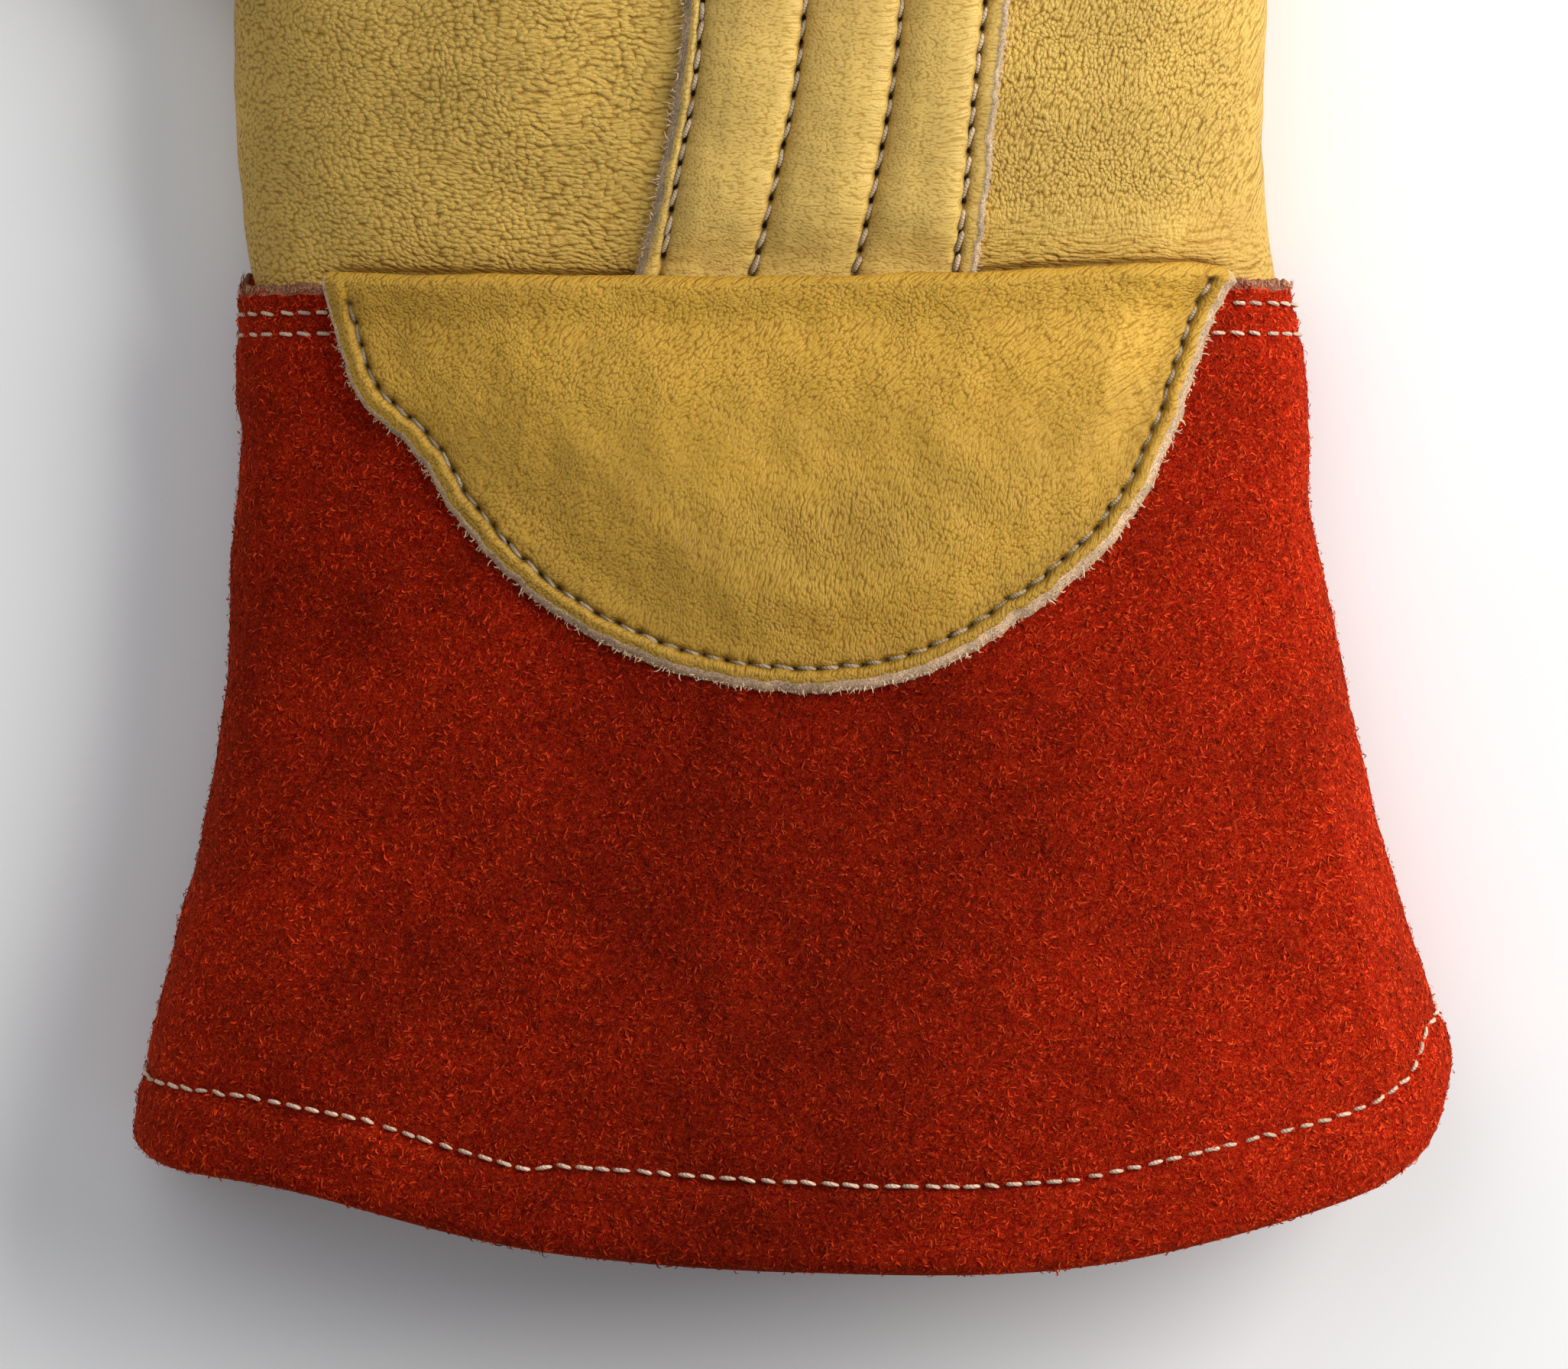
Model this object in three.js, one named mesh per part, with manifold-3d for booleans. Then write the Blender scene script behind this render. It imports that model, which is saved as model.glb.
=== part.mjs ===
// A leather protector glove for a left hand, lying flat with its palm up.
// Millimetres, +Z up. The origin lies on the resting plane under the middle of the wrist, between the
// two rows of stitches that join the cuff to the hand. +Y points to the fingertips, and the thumb is
// on the -X side. Every wall is a sheet that is given its thickness inwards, so the glove is hollow.

import * as THREE from "three";
import Module from "manifold-3d";

const wasm = await Module();
wasm.setup();

// Walls and clearances
const LEATHER = 1.4; // wall of the grain leather hand
const SUEDE = 1.5; // wall of the cuff
const GAP = 0.3; // clearance between neighbouring pieces
const REST_GAP = 0.45; // clearance under a piece that is sewn flat on another
const TUCK = 2.1; // how much smaller the hand is where the cuff laps over it
const TUCK_DEPTH = 8; // how far the hand reaches down inside the cuff

// Form of the cross-sections
const FULLNESS = 0.82; // power that squares the crown of the hand and the cuff
const ROUNDNESS = 0.9; // the same for the fingers and the thumb
const FLATNESS = 0.45; // power that flattens the underside
const PRESS = 0.5; // how far the underside is pressed onto the resting plane
const SEAM_TURN = 20; // how far the outer side seams lie under the widest line, in degrees
const SLOPE_STEP = 0.5; // distance over which the slope of a crown is taken
const DEG = Math.PI / 180;

function table(columns, ...rows) {
  return rows.map((row) => Object.fromEntries(columns.map((name, i) => [name, row[i]])));
}

// The cuff from its hem to its top edge: edges seen from above, crown height, height of the widest line
const CUFF = table(
  ["y", "left", "right", "top", "side"],
  [-125, -83.6, 90.0, 38.5, 12.0],
  [-106, -83.3, 89.6, 37.0, 11.6],
  [-94, -81.5, 88.8, 35.6, 11.4],
  [-80, -78.0, 84.0, 33.5, 11.2],
  [-62, -73.8, 78.4, 31.0, 11.0],
  [-42, -71.0, 74.4, 29.0, 10.8],
  [-25, -70.3, 71.3, 28.0, 10.6],
  [-14, -69.0, 70.5, 27.6, 10.5],
  [-9.5, -69.8, 70.4, 27.5, 10.5],
  [2, -69.9, 69.3, 27.2, 10.5],
  [5.5, -69.6, 68.6, 27.0, 10.5],
);
const CUFF_LEVELS = [-80, -62, -42, -25, -14, -9.5, 2]; // rows of the cuff between hem and top edge
const CUFF_TOP = table(["turn", "y"], [-35, 5.5], [30, 5.5], [150, 4.8], [215, 4.8], [360, 5.5]);

// The hem by turn round the cuff: 0 is the right edge, 90 the front, 180 the left edge, 270 the back
const HEM = table(
  ["turn", "y"],
  [-35, -96.5],
  [0, -97.5],
  [20, -108.7],
  [45, -117.3],
  [75, -124.3],
  [105, -122.0],
  [135, -113.5],
  [160, -110.2],
  [180, -105.5],
  [215, -103.5],
  [270, -112.0],
  [325, -96.5],
  [360, -97.5],
);
const HEM_WALL = 3.0; // wall of the cuff where its hem is turned in
const HEM_DEPTH = 11; // height of the turned-in hem
const HEM_STEP = 2; // height over which the wall thickens above it

// The hand above the cuff
const tucked = (y) => {
  const cuff = read(CUFF, "y", y);
  return {
    y,
    left: cuff.left + TUCK,
    right: cuff.right - TUCK,
    top: cuff.top - TUCK,
    side: cuff.side,
    floor: TUCK,
  };
};
const HAND = [
  tucked(-TUCK_DEPTH),
  tucked(4.5),
  ...table(
    ["y", "left", "right", "top", "side", "floor"],
    [8, -68.4, 66.1, 25.4, 10.2, 1.0],
    [14, -69.4, 65.1, 27.0, 10.0, 0],
    [26, -70.3, 64.7, 28.4, 10.0, 0],
    [42.5, -70.5, 65.2, 29.0, 10.0, 0],
    [62, -68.5, 66.8, 28.4, 10.0, 0],
    [84, -63.0, 69.2, 26.4, 9.4, 0],
    [114, -58.5, 70.5, 22.5, 8.0, 0],
  ),
];
const HAND_LEVELS = [-TUCK_DEPTH, 4.5, 8, 14, 26, 42.5, 62, 74, 84, 93, 102, 110];
const KNUCKLES = 110; // level of the row that the fingers grow from, before it bends to the crotches
const KNUCKLE_BEND = 50; // length below it over which the rows bend
const ARCH_BLEND = 26; // length below it over which one crown turns into four
const FINGER_COLUMNS = { front: 7, back: 4 };
const COLUMN_LEVEL = 62; // level at which the columns are spaced evenly

// The sides of the fingers where they leave the hand, from the index to the little finger
const CROTCH = table(["x", "y"], [-58.5, 104], [-26.5, 112], [7, 114], [40.5, 107], [70.5, 97]);
const SEWN_FRONTS = { 1: "middle_front", 2: "ring_front" }; // fingers whose fronts are pieces of their own
const FINGERS = table(
  ["tipX", "tipY", "tipHalf"],
  [-50, 188, 13.6],
  [-8, 205, 14.2],
  [31, 196, 14.0],
  [70, 172, 12.6],
);
const FINGER_TOP = 22.5; // crown height of a finger at its root
const FINGER_FALL = 3.5; // how much lower it is at the tip
const FINGER_SIDE = 7.5; // height of the widest line
const FINGER_CAP = 14; // length of the rounded tip
const CAP_TURNS = [35, 65]; // rows of the rounded tip, in degrees towards its end
const FINGER_SHARES = [0.1, 0.32, 0.56, 0.8, 1]; // rows along a finger below its rounded tip
const LIFT = 7; // how far the fingertips rise off the surface
const LIFT_START = 90;
const LIFT_LENGTH = 115;
const FORWARD = new THREE.Vector3(0, 1, 0); // the way the fingers point

// The thumb, whose axis starts inside the palm
const THUMB_ROOT = new THREE.Vector3(-54, 56, 0);
const THUMB_TURN = 46; // how far it points away from the fingers, in degrees
const THUMB = table(
  ["along", "half", "top", "side", "floor"],
  [-24, 15.5, 18.0, 10.5, 4.5],
  [0, 19.0, 22.4, 10.5, 2.6],
  [20, 19.0, 24.0, 10.4, 0.7],
  [40, 17.8, 23.8, 10.2, 0],
  [60, 16.8, 23.0, 9.9, 0],
  [77, 15.8, 21.4, 9.6, 0],
);
const THUMB_LEVELS = [-24, -6, 8, 20, 32, 46, 62, 77];
const THUMB_CAP = 13;
const THUMB_COLUMNS = { front: 9, back: 6 };
const THUMB_LIFT = 4;
const THUMB_LIFT_START = 20;
const MOUTH_LIP = 0.25; // how far the edge of the thumb's hole stands inside the thumb's wall
const MOUTH_LEVELS = [-24, 0, 20, 44]; // how far the cutter for that hole reaches along the thumb
const MOUTH_SIDES = { over: 12, under: 8 };
const BODY_LEVELS = [14, 26, 42.5, 62, 74, 84, 93, 102]; // rows of the hand that the thumb is fitted to

// The strip on the palm: its two cut edges and its four lines of stitches
const STRIP = table(
  ["y", "leftEdge", "line1", "line2", "line3", "line4", "rightEdge"],
  [5.9, -17.6, -14.5, -2.5, 10.8, 24.0, 26.8],
  [19, -14.4, -12.1, 0.7, 13.7, 25.4, 28.5],
  [30, -12.4, -10.0, 3.1, 15.7, 26.4, 29.6],
  [42.5, -11.1, -8.7, 4.6, 17.1, 27.9, 31.1],
  [84, -7.8, -5.4, 7.4, 19.8, 31.2, 34.4],
);
const STRIP_LEVELS = [5.9, 8, 14, 20, 26, 42.5, 62, 74, 84];
const STRIP_WALL = 1.3;
const STRIP_PUFF = 1.2; // how far the padding raises a channel
const PUFF_START = 7; // level at which the padding starts
const PUFF_FULL = 16; // level from which it is full
const CHANNEL_SHARES = [0, 0.25, 0.5, 0.75];

// The half-moon patch: its arc about a centre, and the line that its top edge is folded along
const PATCH_CENTRE = new THREE.Vector2(1.5, 5);
const PATCH_ARC = table(
  ["turn", "radius"],
  [185, 58.6],
  [195, 57.1],
  [204, 52.8],
  [215, 52.1],
  [235, 52.1],
  [255, 52.4],
  [270, 53.0],
  [290, 54.1],
  [305, 53.7],
  [325, 54.7],
  [345, 54.9],
  [355, 56.3],
);
const PATCH_FOLD = table(["x", "y"], [-58, 6.7], [-16, 6.1], [-2, 5.9], [24, 6.7], [55, 8.0], [60.6, 7.0]);
const PATCH_COLUMNS = 22;
const PATCH_WALL = 1.3;
const PATCH_PUFF = 2.2; // how far the middle of the patch stands off the cuff
const PATCH_BAND = table(["inset", "puff"], [11, 1], [6.5, 0.5], [4, 0], [0, 0]); // in from the cut edge
const PATCH_BAND_ROOM = 14; // length that the band needs; shorter columns shrink it
const FOLD_RADIUS = 1.6; // outer radius of the folded edge
const TONGUE = 6; // length of leather folded under
const TONGUE_SHARE = 0.3; // the most of a column's length that it takes
const PATCH_LEVEL_END = 5; // the patch runs level past this height of the cuff

// Colours and finishes
const LEATHER_PALM = { color: 0xc2a04b, roughness: 0.5, metalness: 0 };
const LEATHER_STRIP = { color: 0xcdab5c, roughness: 0.5, metalness: 0 };
const LEATHER_PATCH = { color: 0xbd962f, roughness: 0.48, metalness: 0 };
const SUEDE_RED = { color: 0x9c1f08, roughness: 0.92, metalness: 0 };

// Reads a table at a place between its rows, on a smooth curve through them
function read(rows, key, at) {
  const place = Math.min(Math.max(at, rows[0][key]), rows.at(-1)[key]);
  const i = Math.min(Math.max(rows.findIndex((row) => row[key] >= place) - 1, 0), rows.length - 2);
  const width = rows[i + 1][key] - rows[i][key];
  const t = (place - rows[i][key]) / width;
  const slope = (k, name) => {
    const low = rows[Math.max(k - 1, 0)];
    const high = rows[Math.min(k + 1, rows.length - 1)];
    return (high[name] - low[name]) / (high[key] - low[key]);
  };
  const result = {};
  for (const name of Object.keys(rows[0])) {
    const start = rows[i][name];
    const rise = rows[i + 1][name] - start;
    const first = slope(i, name) * width;
    const second = slope(i + 1, name) * width;
    result[name] = start + t * first + t * t * (3 * rise - 2 * first - second)
      + t ** 3 * (first + second - 2 * rise);
  }
  return result;
}

const mix = (a, b, share) => a + (b - a) * share;

function smooth(share) {
  const t = Math.min(Math.max(share, 0), 1);
  return t * t * (3 - 2 * t);
}

// Cross-sections: a crown over a widest line, and an underside pressed flat

function section(row, power = FULLNESS) {
  return {
    middle: (row.left + row.right) / 2,
    half: (row.right - row.left) / 2,
    top: row.top,
    side: row.side,
    floor: row.floor ?? 0,
    power,
  };
}

const cuffSection = (y) => section(read(CUFF, "y", y));
const handSection = (y) => section(read(HAND, "y", y));

// A point of a section at a turn: x across it, and z
function sectionPoint(shape, turn) {
  const across = Math.cos(turn * DEG);
  const rise = Math.sin(turn * DEG);
  const x = shape.middle + shape.half * Math.sign(across) * Math.abs(across) ** shape.power;
  if (rise >= 0) {
    return new THREE.Vector2(x, shape.side + (shape.top - shape.side) * rise ** shape.power);
  }
  const drop = (shape.side - shape.floor + PRESS) * (-rise) ** FLATNESS;
  return new THREE.Vector2(x, Math.max(shape.floor, shape.side - drop));
}

// The turn at which the crown of a section passes over x
function turnOver(shape, x) {
  const across = (x - shape.middle) / shape.half;
  return Math.acos(Math.sign(across) * Math.abs(across) ** (1 / shape.power)) / DEG;
}

// Turns that divide a stretch of a section into steps of equal length
function evenTurns(shape, from, to, count) {
  const samples = 240;
  const turnAt = (i) => mix(from, to, i / samples);
  const lengths = [0];
  for (let i = 1; i <= samples; i += 1) {
    const step = sectionPoint(shape, turnAt(i)).distanceTo(sectionPoint(shape, turnAt(i - 1)));
    lengths.push(lengths[i - 1] + step);
  }
  return Array.from({ length: count + 1 }, (_, k) => {
    const wanted = (k / count) * lengths[samples];
    const i = Math.max(lengths.findIndex((length) => length >= wanted), 1);
    const share = (wanted - lengths[i - 1]) / (lengths[i] - lengths[i - 1]);
    return turnAt(i - 1 + share);
  });
}

// The turns of the columns that the hand and the cuff share, from left to right.
// Those between the side seams lead up to the sides of the fingers.
function columnTurns(face) {
  const shape = handSection(COLUMN_LEVEL);
  const bounds = CROTCH.map(({ x }) => {
    const turn = turnOver(shape, x);
    return face === "front" ? turn : 360 - turn;
  });
  bounds[0] = 180 + SEAM_TURN;
  bounds[4] = face === "front" ? -SEAM_TURN : 360 - SEAM_TURN;
  const turns = [bounds[0]];
  for (let finger = 0; finger < 4; finger += 1) {
    turns.push(...evenTurns(shape, bounds[finger], bounds[finger + 1], FINGER_COLUMNS[face]).slice(1));
  }
  return turns;
}

// A sheet of leather: the points of its outer side, and its faces
class Sheet {
  constructor(face) {
    this.face = face;
    this.points = [];
    this.faces = [];
  }

  // A point with its wall. On a seam the wall is level, and half a gap is left to the other sheet.
  add(place, { wall = LEATHER, seam = false, normal = null, inner = null } = {}) {
    const point = place.clone();
    if (seam) point.z += this.face === "front" ? GAP / 2 : -GAP / 2;
    this.points.push({ place: point, wall, seam, normal, inner });
    return this.points.length - 1;
  }

  triangle(a, b, c) {
    this.faces.push(this.face === "front" ? [a, b, c] : [a, c, b]);
  }

  // Faces between two rows of points, the second further along than the first
  join(row, next) {
    for (let k = 0; k + 1 < row.length; k += 1) {
      this.triangle(row[k], row[k + 1], next[k + 1]);
      this.triangle(row[k], next[k + 1], next[k]);
    }
  }

  fan(row, tip) {
    for (let k = 0; k + 1 < row.length; k += 1) this.triangle(row[k], row[k + 1], tip);
  }

  normals() {
    const sums = this.points.map(() => new THREE.Vector3());
    for (const [a, b, c] of this.faces) {
      const origin = this.points[a].place;
      const first = this.points[b].place.clone().sub(origin);
      const second = this.points[c].place.clone().sub(origin);
      const facing = first.cross(second);
      for (const i of [a, b, c]) sums[i].add(facing);
    }
    return sums.map((sum, i) => {
      if (this.points[i].normal) return this.points[i].normal;
      if (this.points[i].seam) sum.z = 0;
      return sum.normalize();
    });
  }

  // The closed solid between the outer side and the inner one
  solid() {
    const normals = this.normals();
    const count = this.points.length;
    const inner = this.points.map(
      ({ place, wall, inner: given }, i) => given ?? place.clone().addScaledVector(normals[i], -wall),
    );
    const faces = [...this.faces, ...this.faces.map(([a, b, c]) => [a + count, c + count, b + count])];
    const edges = new Set(this.faces.flatMap(([a, b, c]) => [`${a} ${b}`, `${b} ${c}`, `${c} ${a}`]));
    for (const edge of edges) {
      const [a, b] = edge.split(" ").map(Number);
      if (!edges.has(`${b} ${a}`)) faces.push([b, a, a + count], [b, a + count, b + count]);
    }
    return { points: [...this.points.map(({ place }) => place), ...inner], faces };
  }
}

// A closed solid through rings of points, swollen outwards by a clearance
function throughRings(rings, clearance) {
  const sheet = new Sheet("front");
  const rows = rings.map((ring) => ring.map((place) => sheet.add(place)));
  const closed = rows.map((row) => [...row, row[0]]);
  for (let i = 0; i + 1 < closed.length; i += 1) sheet.join(closed[i], closed[i + 1]);
  const middle = (ring) => ring
    .reduce((sum, place) => sum.add(place), new THREE.Vector3())
    .divideScalar(ring.length);
  sheet.fan(closed.at(-1), sheet.add(middle(rings.at(-1))));
  sheet.fan([...closed[0]].reverse(), sheet.add(middle(rings[0])));
  const normals = sheet.normals();
  const points = sheet.points.map(({ place }, i) => place.clone().addScaledVector(normals[i], clearance));
  return { points, faces: sheet.faces };
}

function toManifold({ points, faces }) {
  const vertProperties = new Float32Array(points.flatMap((p) => [p.x, p.y, p.z]));
  const triVerts = new Uint32Array(faces.flat());
  return new wasm.Manifold(new wasm.Mesh({ numProp: 3, vertProperties, triVerts }));
}

function fromManifold(manifold) {
  const { vertProperties, triVerts } = manifold.getMesh();
  const geometry = new THREE.BufferGeometry();
  geometry.setAttribute("position", new THREE.Float32BufferAttribute(vertProperties, 3));
  geometry.setIndex([...triVerts]);
  return geometry;
}

// The hand: one crown that turns into four fingers

const lift = (y) => LIFT * (Math.max(0, y - LIFT_START) / LIFT_LENGTH) ** 2;

const raised = (x, y, z) => new THREE.Vector3(x, y, z + lift(y));

// The level at which the fingers leave the hand, a share of the way across it
function crotchLevel(share) {
  const place = share * 4;
  const i = Math.min(Math.floor(place), 3);
  return mix(CROTCH[i].y, CROTCH[i + 1].y, place - i);
}

function fingerShape(finger, share) {
  const left = CROTCH[finger].x;
  const right = CROTCH[finger + 1].x;
  const { tipX, tipHalf } = FINGERS[finger];
  return {
    middle: mix((left + right) / 2, tipX, share),
    half: mix(tipHalf, (right - left) / 2, (1 - share) ** 1.5),
    top: FINGER_TOP - FINGER_FALL * share,
    side: FINGER_SIDE,
    floor: 0,
    power: ROUNDNESS,
  };
}

// The turns across one finger, whose seams lie on its widest line except at the outside of the hand
function fingerTurns(face, finger) {
  const from = finger === 0 ? 180 + SEAM_TURN : 180;
  const to = finger === 3 ? -SEAM_TURN : 0;
  const end = face === "front" ? to : 360 + to;
  return evenTurns(fingerShape(finger, 0), from, end, FINGER_COLUMNS[face]);
}

// A point of the hand below the fingers
function handPoint(face, level, turns, column) {
  const columns = FINGER_COLUMNS[face];
  const bend = smooth((level - KNUCKLES + KNUCKLE_BEND) / KNUCKLE_BEND);
  const y = level + (crotchLevel(column / (4 * columns)) - KNUCKLES) * bend;
  const flat = sectionPoint(handSection(y), turns[column]);
  const blend = smooth((level - KNUCKLES + ARCH_BLEND) / ARCH_BLEND);
  const finger = Math.min(Math.floor(column / columns), 3);
  const arch = sectionPoint(fingerShape(finger, 0), fingerTurns(face, finger)[column - finger * columns]);
  return raised(mix(flat.x, arch.x, blend), y, mix(flat.y, arch.y, blend));
}

// The rest of a finger beyond its first row of points
function growFinger(sheet, finger, first) {
  const across = fingerTurns(sheet.face, finger);
  const columns = FINGER_COLUMNS[sheet.face];
  const { tipY } = FINGERS[finger];
  const capStart = tipY - FINGER_CAP;
  let row = first;
  const grow = (share, closing) => {
    const shape = fingerShape(finger, share);
    const next = across.map((turn, k) => {
      const flat = sectionPoint(shape, turn);
      const root = crotchLevel((finger * columns + k) / (4 * columns));
      const y = mix(root, capStart, share) + FINGER_CAP * Math.sin(closing * DEG);
      const x = mix(shape.middle, flat.x, Math.cos(closing * DEG));
      const z = mix(shape.side, flat.y, Math.cos(closing * DEG));
      return sheet.add(raised(x, y, z), { seam: k === 0 || k === columns });
    });
    sheet.join(row, next);
    row = next;
  };
  FINGER_SHARES.forEach((share) => grow(share, 0));
  CAP_TURNS.forEach((closing) => grow(1, closing));
  const { middle, side } = fingerShape(finger, 1);
  sheet.fan(row, sheet.add(raised(middle, tipY, side), { seam: true, normal: FORWARD }));
}

function handPanel(face) {
  const sheet = new Sheet(face);
  const columns = FINGER_COLUMNS[face];
  const turns = columnTurns(face);
  const rows = HAND_LEVELS.map((level) => turns.map((_, column) => {
    const place = handPoint(face, level, turns, column);
    const outside = column === 0 || column === turns.length - 1;
    const crotch = level === KNUCKLES && !outside && column % columns === 0;
    return sheet.add(place, { seam: outside || crotch, normal: crotch ? FORWARD : null });
  }));
  for (let i = 0; i + 1 < rows.length; i += 1) sheet.join(rows[i], rows[i + 1]);
  FINGERS.forEach((_, finger) => {
    if (face === "front" && finger in SEWN_FRONTS) return;
    growFinger(sheet, finger, rows.at(-1).slice(finger * columns, (finger + 1) * columns + 1));
  });
  return sheet.solid();
}

// The front of a finger that is sewn to the palm across its root
function fingerFront(finger) {
  const sheet = new Sheet("front");
  const columns = FINGER_COLUMNS.front;
  const shape = fingerShape(finger, 0);
  shape.half -= GAP / 2;
  const first = fingerTurns("front", finger).map((turn, k) => {
    const flat = sectionPoint(shape, turn);
    const root = crotchLevel((finger * columns + k) / (4 * columns));
    return sheet.add(raised(flat.x, root + GAP, flat.y), { seam: k === 0 || k === columns });
  });
  growFinger(sheet, finger, first);
  return sheet.solid();
}

// The outer form of the hand below the fingers, as one closed body
function handBody(clearance) {
  const front = columnTurns("front");
  const back = columnTurns("back");
  const rings = BODY_LEVELS.map((level) => [
    ...front.map((_, column) => handPoint("front", level, front, column)),
    ...back.map((_, column) => handPoint("back", level, back, column)).slice(1, -1).reverse(),
  ]);
  return throughRings(rings, clearance);
}

// The thumb

const thumbAxis = new THREE.Vector3(-Math.sin(THUMB_TURN * DEG), Math.cos(THUMB_TURN * DEG), 0);
const thumbAcross = new THREE.Vector3(Math.cos(THUMB_TURN * DEG), Math.sin(THUMB_TURN * DEG), 0);

function thumbShape(along, inset = 0) {
  const { half, top, side, floor } = read(THUMB, "along", along);
  return {
    middle: 0,
    half: half - inset,
    top: top - inset,
    side,
    floor: floor + inset,
    power: ROUNDNESS,
  };
}

function thumbPlace(along, across, z) {
  const length = THUMB.at(-1).along + THUMB_CAP - THUMB_LIFT_START;
  const rise = THUMB_LIFT * (Math.max(0, along - THUMB_LIFT_START) / length) ** 2;
  return THUMB_ROOT.clone().addScaledVector(thumbAxis, along).addScaledVector(thumbAcross, across)
    .setZ(z + rise);
}

function thumbPoint(shape, along, turn, closing = 0) {
  const flat = sectionPoint(shape, turn);
  const shrink = Math.cos(closing * DEG);
  const reach = along + THUMB_CAP * Math.sin(closing * DEG);
  return thumbPlace(reach, flat.x * shrink, mix(shape.side, flat.y, shrink));
}

function thumbPanel(face) {
  const sheet = new Sheet(face);
  const count = THUMB_COLUMNS[face];
  const turns = evenTurns(thumbShape(0), 180, face === "front" ? 0 : 360, count);
  const capStart = THUMB.at(-1).along;
  const steps = [
    ...THUMB_LEVELS.map((along) => ({ along, closing: 0 })),
    ...CAP_TURNS.map((closing) => ({ along: capStart, closing })),
  ];
  const rows = steps.map(({ along, closing }) => turns.map((turn, k) => {
    const place = thumbPoint(thumbShape(along), along, turn, closing);
    return sheet.add(place, { seam: k === 0 || k === count });
  }));
  for (let i = 0; i + 1 < rows.length; i += 1) sheet.join(rows[i], rows[i + 1]);
  const tip = thumbPlace(capStart + THUMB_CAP, 0, thumbShape(capStart).side);
  sheet.fan(rows.at(-1), sheet.add(tip, { seam: true, normal: thumbAxis }));
  return sheet.solid();
}

// The room inside the thumb near its root, which opens the side of the hand
function thumbMouth() {
  const inset = LEATHER + MOUTH_LIP;
  const over = evenTurns(thumbShape(0), 180, 0, MOUTH_SIDES.over);
  const under = evenTurns(thumbShape(0), 0, -180, MOUTH_SIDES.under).slice(1, -1);
  const rings = MOUTH_LEVELS.map((along) => [...over, ...under].map(
    (turn) => thumbPoint(thumbShape(along, inset), along, turn),
  ));
  return throughRings(rings, 0);
}

// Pieces sewn on top: a place a given height above the crown below it

function crownHeight(sectionAt, x, y) {
  const shape = sectionAt(y);
  return sectionPoint(shape, turnOver(shape, x)).y;
}

function laid(sectionAt, x, y, height) {
  const crown = (dx, dy) => new THREE.Vector3(x + dx, y + dy, crownHeight(sectionAt, x + dx, y + dy));
  const across = crown(SLOPE_STEP, 0).sub(crown(-SLOPE_STEP, 0));
  const along = crown(0, SLOPE_STEP).sub(crown(0, -SLOPE_STEP));
  return crown(0, 0).addScaledVector(across.cross(along).normalize(), height);
}

function ribStrip() {
  const sheet = new Sheet("front");
  const rows = STRIP_LEVELS.map((y) => {
    const at = read(STRIP, "y", y);
    const lines = [at.line1, at.line2, at.line3, at.line4];
    const puff = STRIP_PUFF * smooth((y - PUFF_START) / (PUFF_FULL - PUFF_START));
    const across = [{ x: at.leftEdge, rise: 0 }];
    for (let channel = 0; channel < 3; channel += 1) {
      for (const share of CHANNEL_SHARES) {
        const x = mix(lines[channel], lines[channel + 1], share);
        across.push({ x, rise: puff * Math.sin(share * Math.PI) });
      }
    }
    across.push({ x: at.line4, rise: 0 }, { x: at.rightEdge, rise: 0 });
    return across.map(({ x, rise }) => sheet.add(
      laid(handSection, x, y, REST_GAP + STRIP_WALL + rise),
      { inner: laid(handSection, x, y, REST_GAP) },
    ));
  });
  for (let i = 0; i + 1 < rows.length; i += 1) sheet.join(rows[i], rows[i + 1]);
  return sheet.solid();
}

// The profile of the patch along one of its columns: from the folded-under tongue, round the fold and
// on to the cut edge. Each step gives the outer point and the inner one, as distance and height.
function patchProfile(length) {
  const tongue = Math.min(TONGUE, TONGUE_SHARE * length);
  const inside = FOLD_RADIUS - PATCH_WALL;
  const steps = [{ out: [tongue, 0], in: [tongue, PATCH_WALL] }];
  for (const turn of [270, 225, 180, 135, 90]) {
    const cos = Math.cos(turn * DEG);
    const sin = Math.sin(turn * DEG);
    steps.push({
      out: [FOLD_RADIUS * (1 + cos), FOLD_RADIUS * (1 + sin)],
      in: [FOLD_RADIUS + inside * cos, FOLD_RADIUS + inside * sin],
    });
  }
  const level = (distance, rise) => {
    steps.push({ out: [distance, rise + PATCH_WALL], in: [distance, rise] });
  };
  level(tongue, 2 * FOLD_RADIUS - PATCH_WALL);
  const shrink = Math.min(1, (length - tongue) / PATCH_BAND_ROOM);
  const bandStart = length - PATCH_BAND[0].inset * shrink;
  level(mix(tongue, bandStart, 1 / 3), PATCH_PUFF);
  level(mix(tongue, bandStart, 2 / 3), PATCH_PUFF);
  PATCH_BAND.forEach(({ inset, puff }) => level(length - inset * shrink, PATCH_PUFF * puff * shrink));
  return steps;
}

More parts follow.
